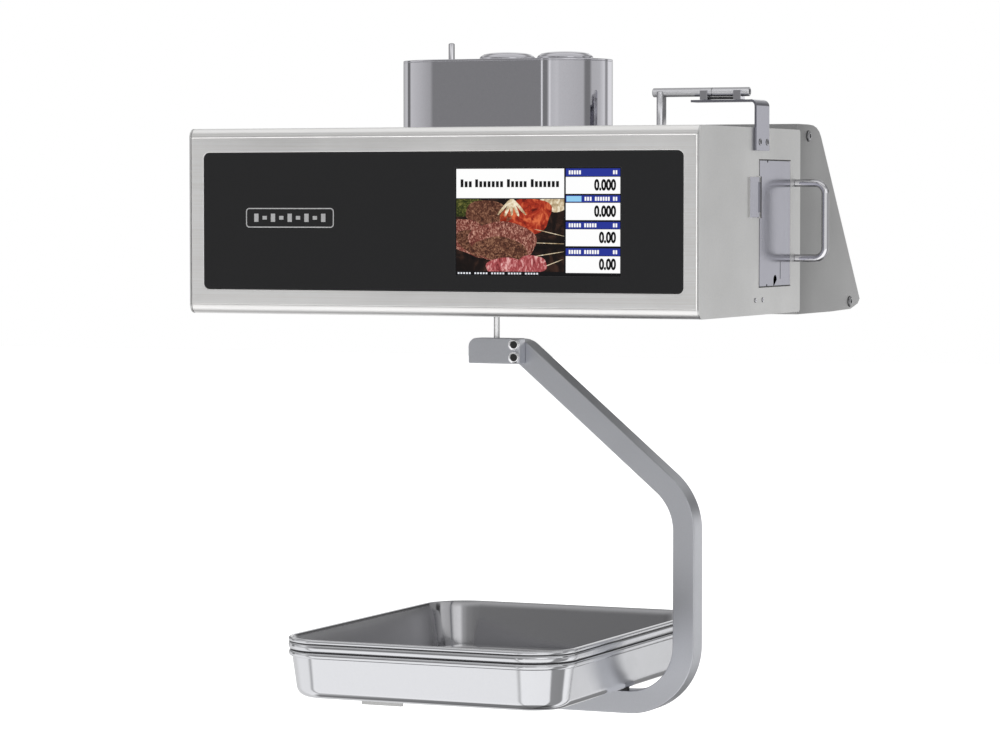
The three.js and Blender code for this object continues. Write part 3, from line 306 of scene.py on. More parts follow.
# Near black for painted shade in hollows and gaps.
painted_shade_black = plastic("painted_shade_black", (0.006, 0.006, 0.006), 0.5, bump=0.02, edge_wear_and_sheen=0.05)
black_plastic = plastic("black_plastic", (0.020, 0.020, 0.022), 0.45)
rubber = plastic("rubber", (0.014, 0.014, 0.015), 0.7, grain=600.0, bump=0.3, edge_wear_and_sheen=0.1)
board_green = plastic("circuit_board", (0.012, 0.085, 0.04), 0.4, grain=300.0, coat=0.3)
label_paper = plastic("label_paper", (0.82, 0.81, 0.78), 0.8, grain=1500.0, bump=0.15, edge_wear_and_sheen=0.0)
core_card = plastic("core_card", (0.42, 0.28, 0.15), 0.85, grain=500.0, bump=0.3, edge_wear_and_sheen=0.0)
WHITE = lit("screen_white", (1.0, 1.0, 1.0))
NAVY = lit("screen_navy", (0.020, 0.035, 0.30))
BLUE = lit("screen_light_blue", (0.30, 0.62, 0.88))
BLACK = lit("screen_black", (0.004, 0.004, 0.005))
PALE = lit("screen_pale", (0.80, 0.82, 0.88))
GREY = lit("screen_grey", (0.30, 0.32, 0.36))
GREEN = lit("screen_green", (0.05, 0.42, 0.12))
AMBER = lit("screen_amber", (0.85, 0.40, 0.04))
RED = lit("screen_red", (0.55, 0.035, 0.03))


# ---- Meshes ----
class Box:
    """Where a CAD node lies at rest: its two corners, its middle and its size."""

    def __init__(self, node):
        self.lo, self.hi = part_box(node)
        self.middle, self.size = (self.lo + self.hi) / 2, self.hi - self.lo


def placed(name, data):
    """A new object that holds a mesh, a text, a lamp or a lens."""
    added = bpy.data.objects.new(name, data)
    bpy.context.scene.collection.objects.link(added)
    return added


def make(name, data, look, node=None, body="housing", crease=35.0):
    """A piece from (vertices, faces), shaded smooth up to the crease angle, that rides on a body."""
    vertices, faces = data
    mesh = bpy.data.meshes.new(name)
    mesh.from_pydata([tuple(vertex) for vertex in vertices], [], faces)
    mesh.validate()
    for polygon in mesh.polygons:
        polygon.use_smooth = True
    mesh.set_sharp_from_angle(angle=math.radians(crease))
    mesh.materials.append(look)
    piece = placed(name, mesh)
    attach(piece, body)
    if node:
        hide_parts(node)
    return piece


def even_faces(piece, keep_sharp=True):
    """Keeps flat faces flat in the shading."""
    piece.modifiers.new("flat_faces", "WEIGHTED_NORMAL").keep_sharp = keep_sharp


def soften(piece, width):
    """Rounds a mesh's sharp edges."""
    bevel = piece.modifiers.new("rounded_edges", "BEVEL")
    bevel.width, bevel.segments = width, 2
    bevel.limit_method, bevel.angle_limit = "ANGLE", math.radians(30.0)
    even_faces(piece, keep_sharp=False)


def loft(loops, wrap=False):
    """Skins loops of equal length, each closed on itself; wrap joins the last loop to the first."""
    count, last = len(loops[0]), len(loops) - 1
    vertices = [Vector(point) for loop in loops for point in loop]
    faces = []
    for i in range(last + 1 if wrap else last):
        a, b = i * count, ((i + 1) % len(loops)) * count
        for j in range(count):
            k = (j + 1) % count
            faces.append((a + j, a + k, b + k, b + j))
    if not wrap:
        faces.append(tuple(range(count - 1, -1, -1)))
        faces.append(tuple(range(last * count, last * count + count)))
    return vertices, faces


def merged(*parts):
    vertices, faces = [], []
    for part_vertices, part_faces in parts:
        start = len(vertices)
        vertices.extend(part_vertices)
        faces.extend(tuple(index + start for index in face) for face in part_faces)
    return vertices, faces


def flipped(data):
    return data[0], [tuple(reversed(face)) for face in data[1]]


def moved(data, matrix):
    return [matrix @ Vector(vertex) for vertex in data[0]], data[1]


def ring(radius, z, steps):
    """A level circle. With no radius it is a point-like one, which closes a turned end."""
    reach = max(radius, 1e-6)
    angles = [math.tau * i / steps for i in range(steps)]
    return [(reach * math.cos(a), reach * math.sin(a), z) for a in angles]


def lathe(profile, steps=64, wrap=False):
    """Turns (radius, height) points about +Z. A wrapped profile closes on itself, round a bore."""
    return loft([ring(radius, height, steps) for radius, height in profile], wrap)


def disc(radius, low, high):
    """The profile of a flat round."""
    return [(0, low), (radius, low), (radius, high), (0, high)]


def at(middle, z=0.0):
    """Moves above or below a middle."""
    return Matrix.Translation((middle.x, middle.y, z))


def axis_matrix(origin, axis):
    """Turns +Z to an axis and moves to an origin."""
    turn = Vector(axis).to_track_quat("Z", "Y").to_matrix().to_4x4()
    return Matrix.Translation(Vector(origin)) @ turn


def turned(name, profile, place, look, node=None, body="housing", steps=48, crease=35.0):
    """A turned piece, carried into place by a matrix."""
    make(name, moved(lathe(profile, steps), place), look, node, body, crease)


def box_mesh(lo, hi):
    x0, y0, z0 = lo
    x1, y1, z1 = hi
    return loft([[(x0, y0, z), (x1, y0, z), (x1, y1, z), (x0, y1, z)] for z in (z0, z1)])


def quarter(steps):
    """Angles from nought to a right angle."""
    return [(math.pi / 2) * s / steps for s in range(steps + 1)]


def softened(low, high, edge, angles):
    """Insets and places of a solid's loops from end to end, with a rounded edge at each end."""
    rows = [(edge * (1 - math.sin(a)), edge * (1 - math.cos(a))) for a in angles]
    start = [(inset, low + reach) for inset, reach in rows]
    return start + [(inset, high - reach) for inset, reach in rows[::-1]]


def tube(path, radius, steps=40):
    """A round bar along a path, with flat ends."""
    loops = []
    up = (Vector(path[1]) - Vector(path[0])).normalized().orthogonal().normalized()
    for i, point in enumerate(path):
        before, after = path[max(i - 1, 0)], path[min(i + 1, len(path) - 1)]
        along = (Vector(after) - Vector(before)).normalized()
        up = (up - along * up.dot(along)).normalized()
        side = along.cross(up)
        loops.append([Vector(point) + up * x + side * y for x, y, _ in ring(radius, 0, steps)])
    return loft(loops)


def filleted(points, radii, steps):
    """A plane line with rounded inner corners."""
    out = [Vector(points[0])]
    for i, radius in enumerate(radii, 1):
        corner = Vector(points[i])
        back = (Vector(points[i - 1]) - corner).normalized()
        ahead = (Vector(points[i + 1]) - corner).normalized()
        half = math.acos(max(-1.0, min(1.0, back.dot(ahead)))) / 2
        middle = corner + (back + ahead).normalized() * (radius / math.sin(half))
        start = corner + back * (radius / math.tan(half)) - middle
        end = corner + ahead * (radius / math.tan(half)) - middle
        for s in range(steps + 1):
            out.append(middle + start.slerp(end, s / steps).normalized() * radius)
    out.append(Vector(points[-1]))
    return out


def rounded_loop(half_x, half_y, radius, z, steps=16, centre=(0.0, 0.0)):
    loop = []
    for corner in range(4):
        cx = centre[0] + (half_x - radius) * (1 if corner in (0, 3) else -1)
        cy = centre[1] + (half_y - radius) * (1 if corner < 2 else -1)
        for s in range(steps + 1):
            angle = (corner + s / steps) * math.pi / 2
            loop.append((cx + radius * math.cos(angle), cy + radius * math.sin(angle), z))
    return loop


def window_plate(outer, inner, y_front, y_back, edge):
    """A plate facing -Y with an opening. Outlines are (x, z, half width, half height, radius)."""

    def loop(outline, grow, y):
        x, z, half_x, half_z, radius = outline
        flat = rounded_loop(half_x + grow, half_z + grow, max(radius + grow, 1e-5), 0, 8, (x, z))
        return [(point[0], y, point[1]) for point in flat]

    rows = [(edge * (1 - math.cos(a)), y_front + edge * (1 - math.sin(a))) for a in quarter(3)]
    loops = [loop(outer, 0.0, y_back)]
    loops += [loop(outer, -inset, y) for inset, y in rows]
    loops += [loop(inner, inset, y) for inset, y in rows[::-1]]
    loops.append(loop(inner, 0.0, y_back))
    return loft(loops, wrap=True)


# ---- CAD nodes that stay in sight ----
def dress(look, *names, bevel=0.35 * MM):
    """Gives CAD nodes a look, whole flat faces and rounded edges, and leaves their vertices alone."""
    for name in names:
        node = NODES[name]
        mesh = node.data
        for layer in ("custom_normal", "sharp_edge", "sharp_face"):
            if layer in mesh.attributes:
                mesh.attributes.remove(mesh.attributes[layer])
        for polygon in mesh.polygons:
            polygon.use_smooth = True
        mesh.materials.clear()
        mesh.materials.append(look)
        node.modifiers.new("weld", "WELD").merge_threshold = 0.002 * MM
        flat = node.modifiers.new("whole_faces", "DECIMATE")
        flat.decimate_type, flat.angle_limit = "DISSOLVE", math.radians(0.4)
        soften(node, bevel)


dress(side_steel, "housing_shell", "inner_chassis", "power_supply", "printer_frame", "pan_support")
dress(console_steel, "console_shell", bevel=0.6 * MM)
dress(door_steel, "printer_door", "hinge_plate", bevel=0.2 * MM)
dress(door_steel, "sign_bracket", bevel=0.3 * MM)
dress(mirror_steel, "hinge_pin", "platen_shaft", "rail_clip_left", "rail_clip_right", "load_nut")
dress(mirror_steel, "support_screw_left", "support_screw_right", bevel=0.2 * MM)
dress(cast_metal, "load_cell", "load_cell_bracket", "suspension_stem", "cable_conduit")
dress(black_steel, "stem_nut", "handle_nut_lower", "handle_nut_upper", bevel=0.3 * MM)
dress(black_plastic, "cable_gland", "print_head", "roll_spindle", "customer_display", "operator_display")
dress(black_plastic, "power_button", bevel=0.5 * MM)
dress(board_green, "main_board", bevel=0.2 * MM)
dress(black_glass, "touch_glass", bevel=0.3 * MM)


# ---- Front panel ----
LIP_RADIUS = 8 * MM
SHEET = 1.5 * MM
SCREEN_MARGIN = 7 * MM


def front_panel():
    """The bezel: a plate round the glass, with the top and bottom of the sheet rolled back."""
    bezel, glass = Box("front_bezel"), Box("front_glass")
    lo, hi, face = bezel.lo, bezel.hi, bezel.lo.y
    gap, seam, corner = 0.35 * MM, 0.8 * MM, 5.3 * MM
    outer = (0.0, bezel.middle.z, hi.x, bezel.size.z / 2 - LIP_RADIUS - 0.1 * MM, 1e-5)
    opening = (glass.middle.x, glass.middle.z, glass.size.x / 2 + gap, glass.size.z / 2 + gap, corner)
    parts = [window_plate(outer, opening, face, face + SHEET, 0.7 * MM)]

    def lip_point(a, in_front, above):
        y = face + LIP_RADIUS - (LIP_RADIUS - in_front) * math.sin(a)
        return y, edge - side * (LIP_RADIUS - (LIP_RADIUS - above) * math.cos(a))

    for side, edge in ((1, hi.z), (-1, lo.z)):
        outline = [(hi.y, edge)]
        outline += [lip_point(a, seam, 0.0) for a in quarter(16)]
        outline += [lip_point(a, SHEET, SHEET) for a in quarter(16)[::-1]]
        outline.append((hi.y, edge - side * SHEET))
        lip = loft([[(x, y, z) for y, z in outline] for x in (lo.x, hi.x)])
        parts.append(flipped(lip) if side < 0 else lip)
    even_faces(make("front_panel", merged(*parts), front_steel, "front_bezel"))

    # Thin pale strips along the top lip's fold and down the right edge: a painted highlight.
    glint, proud, behind = 0.55 * MM, 0.12 * MM, face + SHEET / 2
    line = hi.z - LIP_RADIUS + 0.2 * MM
    across = box_mesh((lo.x + 0.5 * MM, face - proud, line - glint), (hi.x - glint, behind, line))
    upright = box_mesh((hi.x - 1.5 * glint, face - proud, lo.z + LIP_RADIUS), (hi.x - 0.1 * MM, behind, line))
    make("front_panel_glint", merged(across, upright), painted_highlight_look)


def front_window():
    glass, screen = Box("front_glass"), Box("customer_display")
    margin = SCREEN_MARGIN - 0.3 * MM
    opening = (screen.middle.x, screen.middle.z, screen.size.x / 2 - margin, screen.size.z / 2 - margin, 1e-5)
    outer = (glass.middle.x, glass.middle.z, glass.size.x / 2, glass.size.z / 2, 5 * MM)
    data = window_plate(outer, opening, glass.lo.y, glass.hi.y, 0.3 * MM)
    even_faces(make("front_window", data, black_glass, "front_glass"))


# ---- Flat artwork ----
LAYER = 0.016 * MM


class Artwork:
    """Thin flat shapes on a plane, each layer a hair above the one before."""

    def __init__(self, name, origin, across, up):
        self.name = name
        self.origin, self.across, self.up = Vector(origin), Vector(across), Vector(up)
        self.out = self.across.cross(self.up).normalized()
        self.vertices, self.faces, self.looks, self.slots = [], [], [], []
        self.level = 1

    def add(self, places, faces, look):
        start = len(self.vertices)
        lift = self.out * (LAYER * self.level)
        self.vertices += [place + lift for place in places]
        self.faces += [tuple(start + index for index in face) for face in faces]
        if look not in self.looks:
            self.looks.append(look)
        self.slots += [self.looks.index(look)] * len(faces)

    def shape(self, points, look, order=None):
        """Overlaps in one layer show by rounding, so these sums keep their order."""
        places = [self.origin + self.across * u + self.up * v for u, v in points]
        self.add(places, [order or range(len(points))], look)

    def rect(self, u0, v0, u1, v1, look):
        self.shape([(u0, v0), (u1, v0), (u1, v1), (u0, v1)], look)

    def text(self, string, u, v, height, look, align="RIGHT", weight=0.03, width=0.6):
        """Digits set with their right or middle at u and their foot at v, height in shares of up."""
        curve = bpy.data.curves.new("digits", "FONT")
        curve.body, curve.size, curve.offset = string, 1.0, weight
        curve.align_x, curve.resolution_u = align, 6
        glyphs = placed("digits", curve)
        bpy.context.view_layer.update()
        mesh = bpy.data.meshes.new_from_object(glyphs)
        scale = height / max(vertex.co.y for vertex in mesh.vertices)
        places = []
        for x, y, _ in (vertex.co for vertex in mesh.vertices):
            places.append(self.origin + (self.across * (u + x * scale * width) + self.up * (v + y * scale)))
        self.add(places, [tuple(polygon.vertices) for polygon in mesh.polygons], look)
        bpy.data.objects.remove(glyphs)
        bpy.data.meshes.remove(mesh)

    def finish(self):
        mesh = bpy.data.meshes.new(self.name)
        mesh.from_pydata([tuple(vertex) for vertex in self.vertices], [], self.faces)
        for look in self.looks:
            mesh.materials.append(look)
        for polygon, index in zip(mesh.polygons, self.slots):
            polygon.material_index = index
        piece = placed(self.name, mesh)
        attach(piece, "housing")


def customer_picture():
    """The customer's screen, in shares of its width and of its height from the top."""
    screen = Box("customer_display")
    x0, x1 = screen.lo.x + SCREEN_MARGIN, screen.hi.x - SCREEN_MARGIN
    z0, z1 = screen.lo.z + SCREEN_MARGIN, screen.hi.z - SCREEN_MARGIN
    art = Artwork("customer_screen", (x0, screen.lo.y, z1), (x1 - x0, 0, 0), (0, 0, z1 - z0))

    def rect(u0, down0, u1, down1, look):
        art.rect(u0, -down1, u1, -down0, look)

    picture_left, picture_right, picture_top, picture_foot = 0.004, 0.662, 0.288, 0.965
    rect(0, 0, 1, 1, BLACK)
    art.level += 1
    rect(picture_left, 0.006, picture_right, 0.280, WHITE)
    browns = ((0.003, 0.002, 0.002), (0.010, 0.005, 0.004), (0.05, 0.022, 0.014))
    backdrop = food("picture_backdrop", *browns, 60.0)
    rect(picture_left, picture_top, picture_right, picture_foot, backdrop)
    art.level += 1
    for word, letters in ((0.030, 3), (0.120, 7), (0.315, 5), (0.460, 7)):
        for k in range(letters):
            u = word + k * 0.0255
            rect(u, 0.104 if k == 0 else 0.122, u + 0.0175, 0.178, BLACK)
    still_life(art, picture_left, picture_right, picture_top, picture_foot)
    art.level = 2
    caption = 0.0172
    for k in range(30):
        if k % 6 != 5:
            rect(0.012 + k * caption, 0.975, 0.012 + (k + 0.62) * caption, 0.991, PALE)
    left, right, half_tall = 0.672, 0.998, 0.018
    fields = [(0.006, 0.078, 0.240, "0.000"), (0.255, 0.318, 0.483, "0.000")]
    fields += [(0.500, 0.563, 0.725, "0.00"), (0.745, 0.812, 0.973, "0.00")]
    for top, foot, low, _ in fields:
        rect(left, top, right, foot, NAVY)
        rect(left, foot + 0.006, right, low, WHITE)
    art.level += 1
    titles = ((0.69, 5, None), (0.785, 10, 3), (0.69, 11, 5), (0.69, 12, 5))
    for (top, foot, low, value), (start, letters, space) in zip(fields, titles):
        middle = (top + foot) / 2
        if space == 3:
            rect(0.676, top + 0.006, 0.766, foot - 0.006, BLUE)
        bars = [(start + k * 0.0155, 0.0105) for k in range(letters) if k != space]
        for u, wide in [*bars, (0.955, 0.010), (0.970, 0.010)]:
            rect(u, middle - half_tall, u + wide, middle + half_tall, WHITE)
        art.text(value, 0.972, 0.036 - low, 0.100, BLACK, weight=0.05, width=0.43)
    art.finish()


def still_life(art, left, right, top, foot):
    """A made-up plate of sliced roast with tomato, onion and stalks, clipped to the picture's frame."""
    crust = food("picture_crust", (0.020, 0.007, 0.005), (0.11, 0.038, 0.022), (0.34, 0.17, 0.10), 420.0)
    flesh = food("picture_meat", (0.045, 0.010, 0.008), (0.21, 0.055, 0.040), (0.62, 0.34, 0.26), 520.0, 0.7)
    rare = food("picture_rare", (0.16, 0.018, 0.022), (0.42, 0.085, 0.090), (0.82, 0.46, 0.44), 300.0, 0.5)
    tomato = food("picture_tomato", (0.10, 0.006, 0.004), (0.38, 0.030, 0.012), (0.72, 0.16, 0.06), 110.0)
    onion = food("picture_onion", (0.30, 0.20, 0.10), (0.62, 0.50, 0.32), (0.92, 0.84, 0.66), 160.0)
    leaf = food("picture_leaf", (0.006, 0.010, 0.002), (0.045, 0.055, 0.010), (0.22, 0.20, 0.05), 300.0)
    points = 44

    def blob(u, down, wide, tall, turn, look, seed, wobble):
        chance = random.Random(seed)
        waves = [(k, chance.uniform(-wobble, wobble), chance.uniform(0, math.tau)) for k in (2, 3, 5)]
        outline = []
        for i in range(points):
            a = math.tau * i / points
            reach = 1 + sum(size * math.sin(k * a + phase) for k, size, phase in waves)
            x, y = wide * reach * math.cos(a), tall * reach * math.sin(a)
            along = u + x * math.cos(turn) - y * math.sin(turn)
            outline.append((along, -(down + x * math.sin(turn) + y * math.cos(turn))))
        art.shape(outline, look, range(points - 1, -1, -1))
        for index in range(len(art.vertices) - points, len(art.vertices)):
            local = art.vertices[index] - art.origin
            along = local.dot(art.across) / art.across.length_squared
            below = -local.dot(art.up) / art.up.length_squared
            inwards, upwards = min(max(along, left), right) - along, below - min(max(below, top), foot)
            art.vertices[index] += art.across * inwards + art.up * upwards

    rings = [(0.30 + 0.022 * k, 0.36 + 0.012 * (k % 2), 0.010, 0.085, 0.5 - 0.25 * k) for k in range(5)]
    stalks = [(0.57, 0.60 + 0.10 * k, 0.10, 0.0035, 0.35 - 0.3 * k) for k in range(4)]
    layers = [
        [(0.07, 0.36, 0.13, 0.11, 0.3, leaf, 1, 0.2), (0.60, 0.33, 0.10, 0.07, -0.4, onion, 2, 0.2)],
        [(0.43, 0.46, 0.15, 0.19, 0.3, tomato, 4, 0.07), (0.20, 0.42, 0.14, 0.12, 0.0, crust, 3, 0.12)],
        [(*place, onion, 20 + k, 0.05) for k, place in enumerate(rings)],
        [(*place, onion, 30 + k, 0.03) for k, place in enumerate(stalks)],
        [(0.10, 0.66, 0.12, 0.20, -0.55, flesh, 40, 0.09)],
        [(0.11, 0.70, 0.085, 0.14, -0.55, crust, 41, 0.09)],
        [(0.29, 0.69, 0.21, 0.19, 0.25, flesh, 42, 0.06)],
        [(0.28, 0.76, 0.16, 0.12, 0.25, crust, 43, 0.09)],
        [(0.33, 0.93, 0.15, 0.09, 0.1, rare, 44, 0.06)],
        [(0.46, 0.90, 0.10, 0.085, -0.35, rare, 45, 0.05)],
    ]
    for layer in layers:
        for one in layer:
            blob(*one)
        art.level += 1


def badge():
    """A blank outlined nameplate on the glass, with plain bars in place of any mark."""
    glass = Box("front_glass")
    x, z = glass.lo.x + glass.size.x * 0.187, glass.lo.z + glass.size.z * 0.525
    front, back = glass.lo.y - 0.12 * MM, glass.lo.y - 0.01 * MM
    half_x, half_z, corner, line = 43 * MM, 8.6 * MM, 3.2 * MM, 0.9 * MM
    outer = (x, z, half_x, half_z, corner)
    parts = [window_plate(outer, (x, z, half_x - line, half_z - line, corner - line), front, back, 0.05 * MM)]
    pitch, half_bar = 8.2 * MM, 2.1 * MM
    for k in range(-4, 5):
        bar, tall = x + k * pitch, 3.6 * MM if k % 2 == 0 else 1.6 * MM
        parts.append(box_mesh((bar - half_bar, front, z - tall), (bar + half_bar, back, z + tall)))
    make("blank_badge", merged(*parts), badge_silver)


# ---- Hanger ----
def capsule(box, extra, edge):
    """A solid with round ends and softened top and bottom edges, a little taller than a box."""
    half_x, half_y, middle = box.size.x / 2, box.size.y / 2, (box.middle.x, box.middle.y)
    loops = []
    for inset, z in softened(box.lo.z, box.hi.z + extra, edge, quarter(3)):
        radius = half_y - inset - 1e-5
        loops.append(rounded_loop(half_x - inset, half_y - inset, radius, z, 40, middle))
    return loft(loops)


def dome(box):
    """The profile of a shallow domed cap with two turned grooves, from the axis out and round to the land."""
    foot, rise, radius = box.lo.z, box.size.z, box.size.x / 2
    lip, land, rim_share, cut = 0.5 * MM, 9 * MM, 0.2, 0.45 * MM
    base = [(0.0, foot), (radius - lip, foot), (radius, foot + lip)]
    slope = []
    for a in quarter(28):
        height = rise * (rim_share + (1 - rim_share) * math.sin(a))
        slope.append((land + (radius - land) * math.cos(a), foot + height))
    carved = []
    for (r0, z0), (r1, z1) in zip(slope, slope[1:]):
        carved.append((r0, z0))
        for groove in (21.0 * MM, 13.5 * MM):
            if r0 > groove >= r1:
                z = z0 + (z1 - z0) * (r0 - groove) / (r0 - r1)
                carved += [(groove + cut, z), (groove, z - cut), (groove - cut, z)]
    return base + sorted(carved, key=lambda point: -point[0]) + [(land, box.hi.z), (0.0, box.hi.z)]


def hanger():
    cases = (("hanger_casing", "hanger_cover", 0.28, 0.1), ("hanger_lid", "hanger_top_plate", 0.0, 0.5))
    for name, node, extra, edge in cases:
        data = capsule(Box(node), extra * MM, edge * MM)
        even_faces(make(name, data, mirror_steel, node, crease=60.0), keep_sharp=False)
    for node in ("pole_boss", "conduit_boss"):
        boss = Box(node)
        radius, thick, place = boss.size.x / 2, 0.4 * MM, at(boss.middle)
        turned(node + "_cap", dome(boss), place, mirror_steel, node, steps=96, crease=50.0)
        gasket = [(radius - 0.6 * MM, 0), *disc(radius + 0.9 * MM, 0, thick)[1:]]
        place = at(boss.middle, boss.lo.z - 0.3 * MM)
        turned(node + "_gasket", gasket, place, black_plastic, steps=96)
    pin = Box("hanger_pin")
    radius, tip = pin.size.x / 2, 1.1 * MM
    profile = [(0, pin.lo.z), (radius, pin.lo.z), (radius, pin.hi.z - tip)]
    profile += [(radius * math.cos(a), pin.hi.z - tip + tip * math.sin(a)) for a in (0.4, 0.8, 1.2)]
    profile.append((0, pin.hi.z))
    turned("locating_pin", profile, at(pin.middle), handle_steel, "hanger_pin", steps=32)
    wide = radius + 1.6 * MM
    collar = [(radius, 0), (wide, 0), (wide, 0.9 * MM), (radius, 1.3 * MM)]
    plate_top = Box("hanger_top_plate").hi.z
    turned("locating_pin_collar", collar, at(pin.middle, plate_top), mirror_steel, steps=32)


# ---- Rod, block and arm ----
BAR_WIDTH = 20 * MM
ARM_SLOPE = math.radians(40)
ARM_BENDS = (10.5 * MM, 55 * MM, 52 * MM)


def cap_screw(node):
    """A broad polished button head facing -Y where the CAD screw's head is, with a flat black disc on its
    face, set a little to the right, as painted shade for the socket's hollow.
    """
    screw = Box(node)
    radius, tall, side, socket, proud = 5.4 * MM, 3.2 * MM, 0.6 * MM, 3.4 * MM, 0.12 * MM
    seat = Vector((screw.middle.x + 0.6 * MM, screw.lo.y + 3.0 * MM, screw.middle.z))
    place, right = axis_matrix(seat, (0, -1, 0)), Matrix.Translation((0.9 * MM, 0, 0))
    profile = [(0, -0.1 * MM), (radius, -0.1 * MM), (radius, side)]
    for a in (0.3, 0.6, 0.9, 1.2, 1.5):
        profile.append((socket + (radius - socket) * math.cos(a), side + (tall - side) * math.sin(a)))
    profile.append((0, tall))
    turned(node + "_cap", profile, place, bright_steel, node, "arm", 64, 40.0)
    # Painted shade: a black disc standing for the dark of the socket.
    well = disc(socket, tall - 0.4 * MM, tall + proud)
    turned(node + "_socket", well, right @ place, painted_shade_black, body="arm")


def suspended_parts():
    rod, seal = Box("load_rod"), Box("rod_seal")
    radius, edge, low, high = rod.size.x / 2, 0.4 * MM, rod.lo.z, rod.hi.z
    profile = [(0, low), (radius - edge, low), (radius, low + edge)]
    profile += [(radius, high - edge), (radius - edge, high), (0, high)]
    turned("hanging_rod", profile, at(rod.middle), rod_steel, "load_rod", "load_hanger")
    radius, bore = seal.size.x / 2, 3.0 * MM
    skirt = seal.hi.z - 3.3 * MM
    profile = [(bore, seal.lo.z), (radius - 4.5 * MM, seal.lo.z), (radius - 0.6 * MM, skirt - 0.9 * MM)]
    profile += [(radius, skirt - 0.5 * MM), (radius - 0.3 * MM, skirt - 0.1 * MM), (bore, skirt)]
    turned("rod_boot", profile, at(seal.middle), rubber, "rod_seal", steps=64, crease=50.0)
    cap_screw("clamp_screw_upper")
    cap_screw("clamp_screw_lower")


def rod_block():
    """The block on the rod: its top left corner rounded, every edge softened."""
    block = Box("clamp_block")
    lo, hi = block.lo, block.hi
    loops = []
    for inset, y in softened(lo.y, hi.y, 0.8 * MM, (0.0, 0.5, 1.05, math.pi / 2)):
        turn, small = 8 * MM - inset, 1.2 * MM - inset * 0.6
        x0, x1, z0, z1 = lo.x + inset, hi.x - inset, lo.z + inset, hi.z - inset
        corners = [(x0 + turn, z1 - turn, turn, 1), (x0 + small, z0 + small, small, 2)]
        corners += [(x1 - small, z0 + small, small, 3), (x1 - small, z1 - small, small, 0)]
        loop = []
        for x, z, radius, start in corners:
            for a in quarter(8):
                angle = start * math.pi / 2 + a
                loop.append((x + radius * math.cos(angle), y, z + radius * math.sin(angle)))
        loops.append(loop)
    even_faces(make("rod_block", flipped(loft(loops)), anodised, "clamp_block", "arm", 50.0))


def cranked_arm():
    """A flat bar bent from the block's middle down the slope and round under the pans."""
    arm, block, carrier = Box("pan_arm"), Box("clamp_block"), Box("outer_pan")
    down_x, low_z = arm.hi.x - BAR_WIDTH / 2, arm.lo.z + BAR_WIDTH / 2
    knee_x, knee_z = block.hi.x - 5.8 * MM, block.middle.z + 0.2 * MM
    bend_z = knee_z - (down_x - knee_x) * math.tan(ARM_SLOPE)
    corners = [(block.lo.x + 19 * MM, knee_z), (knee_x, knee_z), (down_x, bend_z)]
    corners += [(down_x, low_z), (arm.lo.x, low_z)]
    line = filleted([Vector((x, z, 0.0)) for x, z in corners], ARM_BENDS, 24)
    section = rounded_loop(BAR_WIDTH / 2, arm.size.y / 2, 0.9 * MM, 0, 4)
    loops = []
    for i, point in enumerate(line):
        before, after = line[max(i - 1, 0)], line[min(i + 1, len(line) - 1)]
        into = (point - before).normalized() if i else (after - point).normalized()
        out = (after - point).normalized() if i < len(line) - 1 else into
        along = (into + out).normalized()
        across = Vector((-along.y, 0.0, along.x)) / max(along.dot(into), 0.5)
        middle = Vector((point.x, arm.middle.y, point.y))
        loops.append([middle + across * s + Vector((0.0, t, 0.0)) for s, t, _ in section])
    even_faces(make("cranked_arm", loft(loops), anodised, "pan_arm", "arm", 45.0))
    foot, tall = -0.1 * MM, 4.0 * MM
    profile = [(0, foot), (3.6 * MM, foot), (3.6 * MM, 3.2 * MM), (2.9 * MM, tall), (0, tall)]
    place = Matrix.Translation((carrier.hi.x - 17 * MM, arm.lo.y + 4.5 * MM, arm.lo.z + BAR_WIDTH))
    turned("pan_stop", profile, place, rubber, body="arm", steps=40)


# ---- Pans ----
PAN_CORNER = 42 * MM
PAN_TAPER = math.tan(math.radians(8))


def pan_loops(rings, box, grow=0.0):
    """Level loops round a pan, from insets and heights."""
    half_x, half_y, middle = box.size.x / 2 + grow, box.size.y / 2 + grow, (box.middle.x, box.middle.y)
    loops = []
    for inset, height in rings:
        radius = max(PAN_CORNER - inset, 4 * MM)
        loops.append(rounded_loop(half_x - inset, half_y - inset, radius, height, 20, middle))
    return loops


def wall_rings(inset, top, floor, fillet):
    """A tapered wall down to a filleted floor."""
    span = top - floor - fillet
    rings = [(inset + span * PAN_TAPER * s / 5, top - span * s / 5) for s in range(5)]
    foot = inset + span * PAN_TAPER
    for a in quarter(10):
        rings.append((foot + fillet * (1 - math.cos(a)), floor + fillet * (1 - math.sin(a))))
    return rings


def bead(top, foot, reach, inner=0.0):
    """A half-round fold of a rim: insets from the outermost line and heights, from its top to its foot."""
    middle, half = (top + foot) / 2, (top - foot) / 2
    angles = [math.pi / 2 - math.pi * s / 12 for s in range(13)]
    return [(inner + reach * (1 - math.cos(a)), middle + half * math.sin(a)) for a in angles]


def band(near, far, low, high):
    """The section of a flat ring, between two insets and two heights."""
    return [(near, low), (near, high), (far, high), (far, low)]


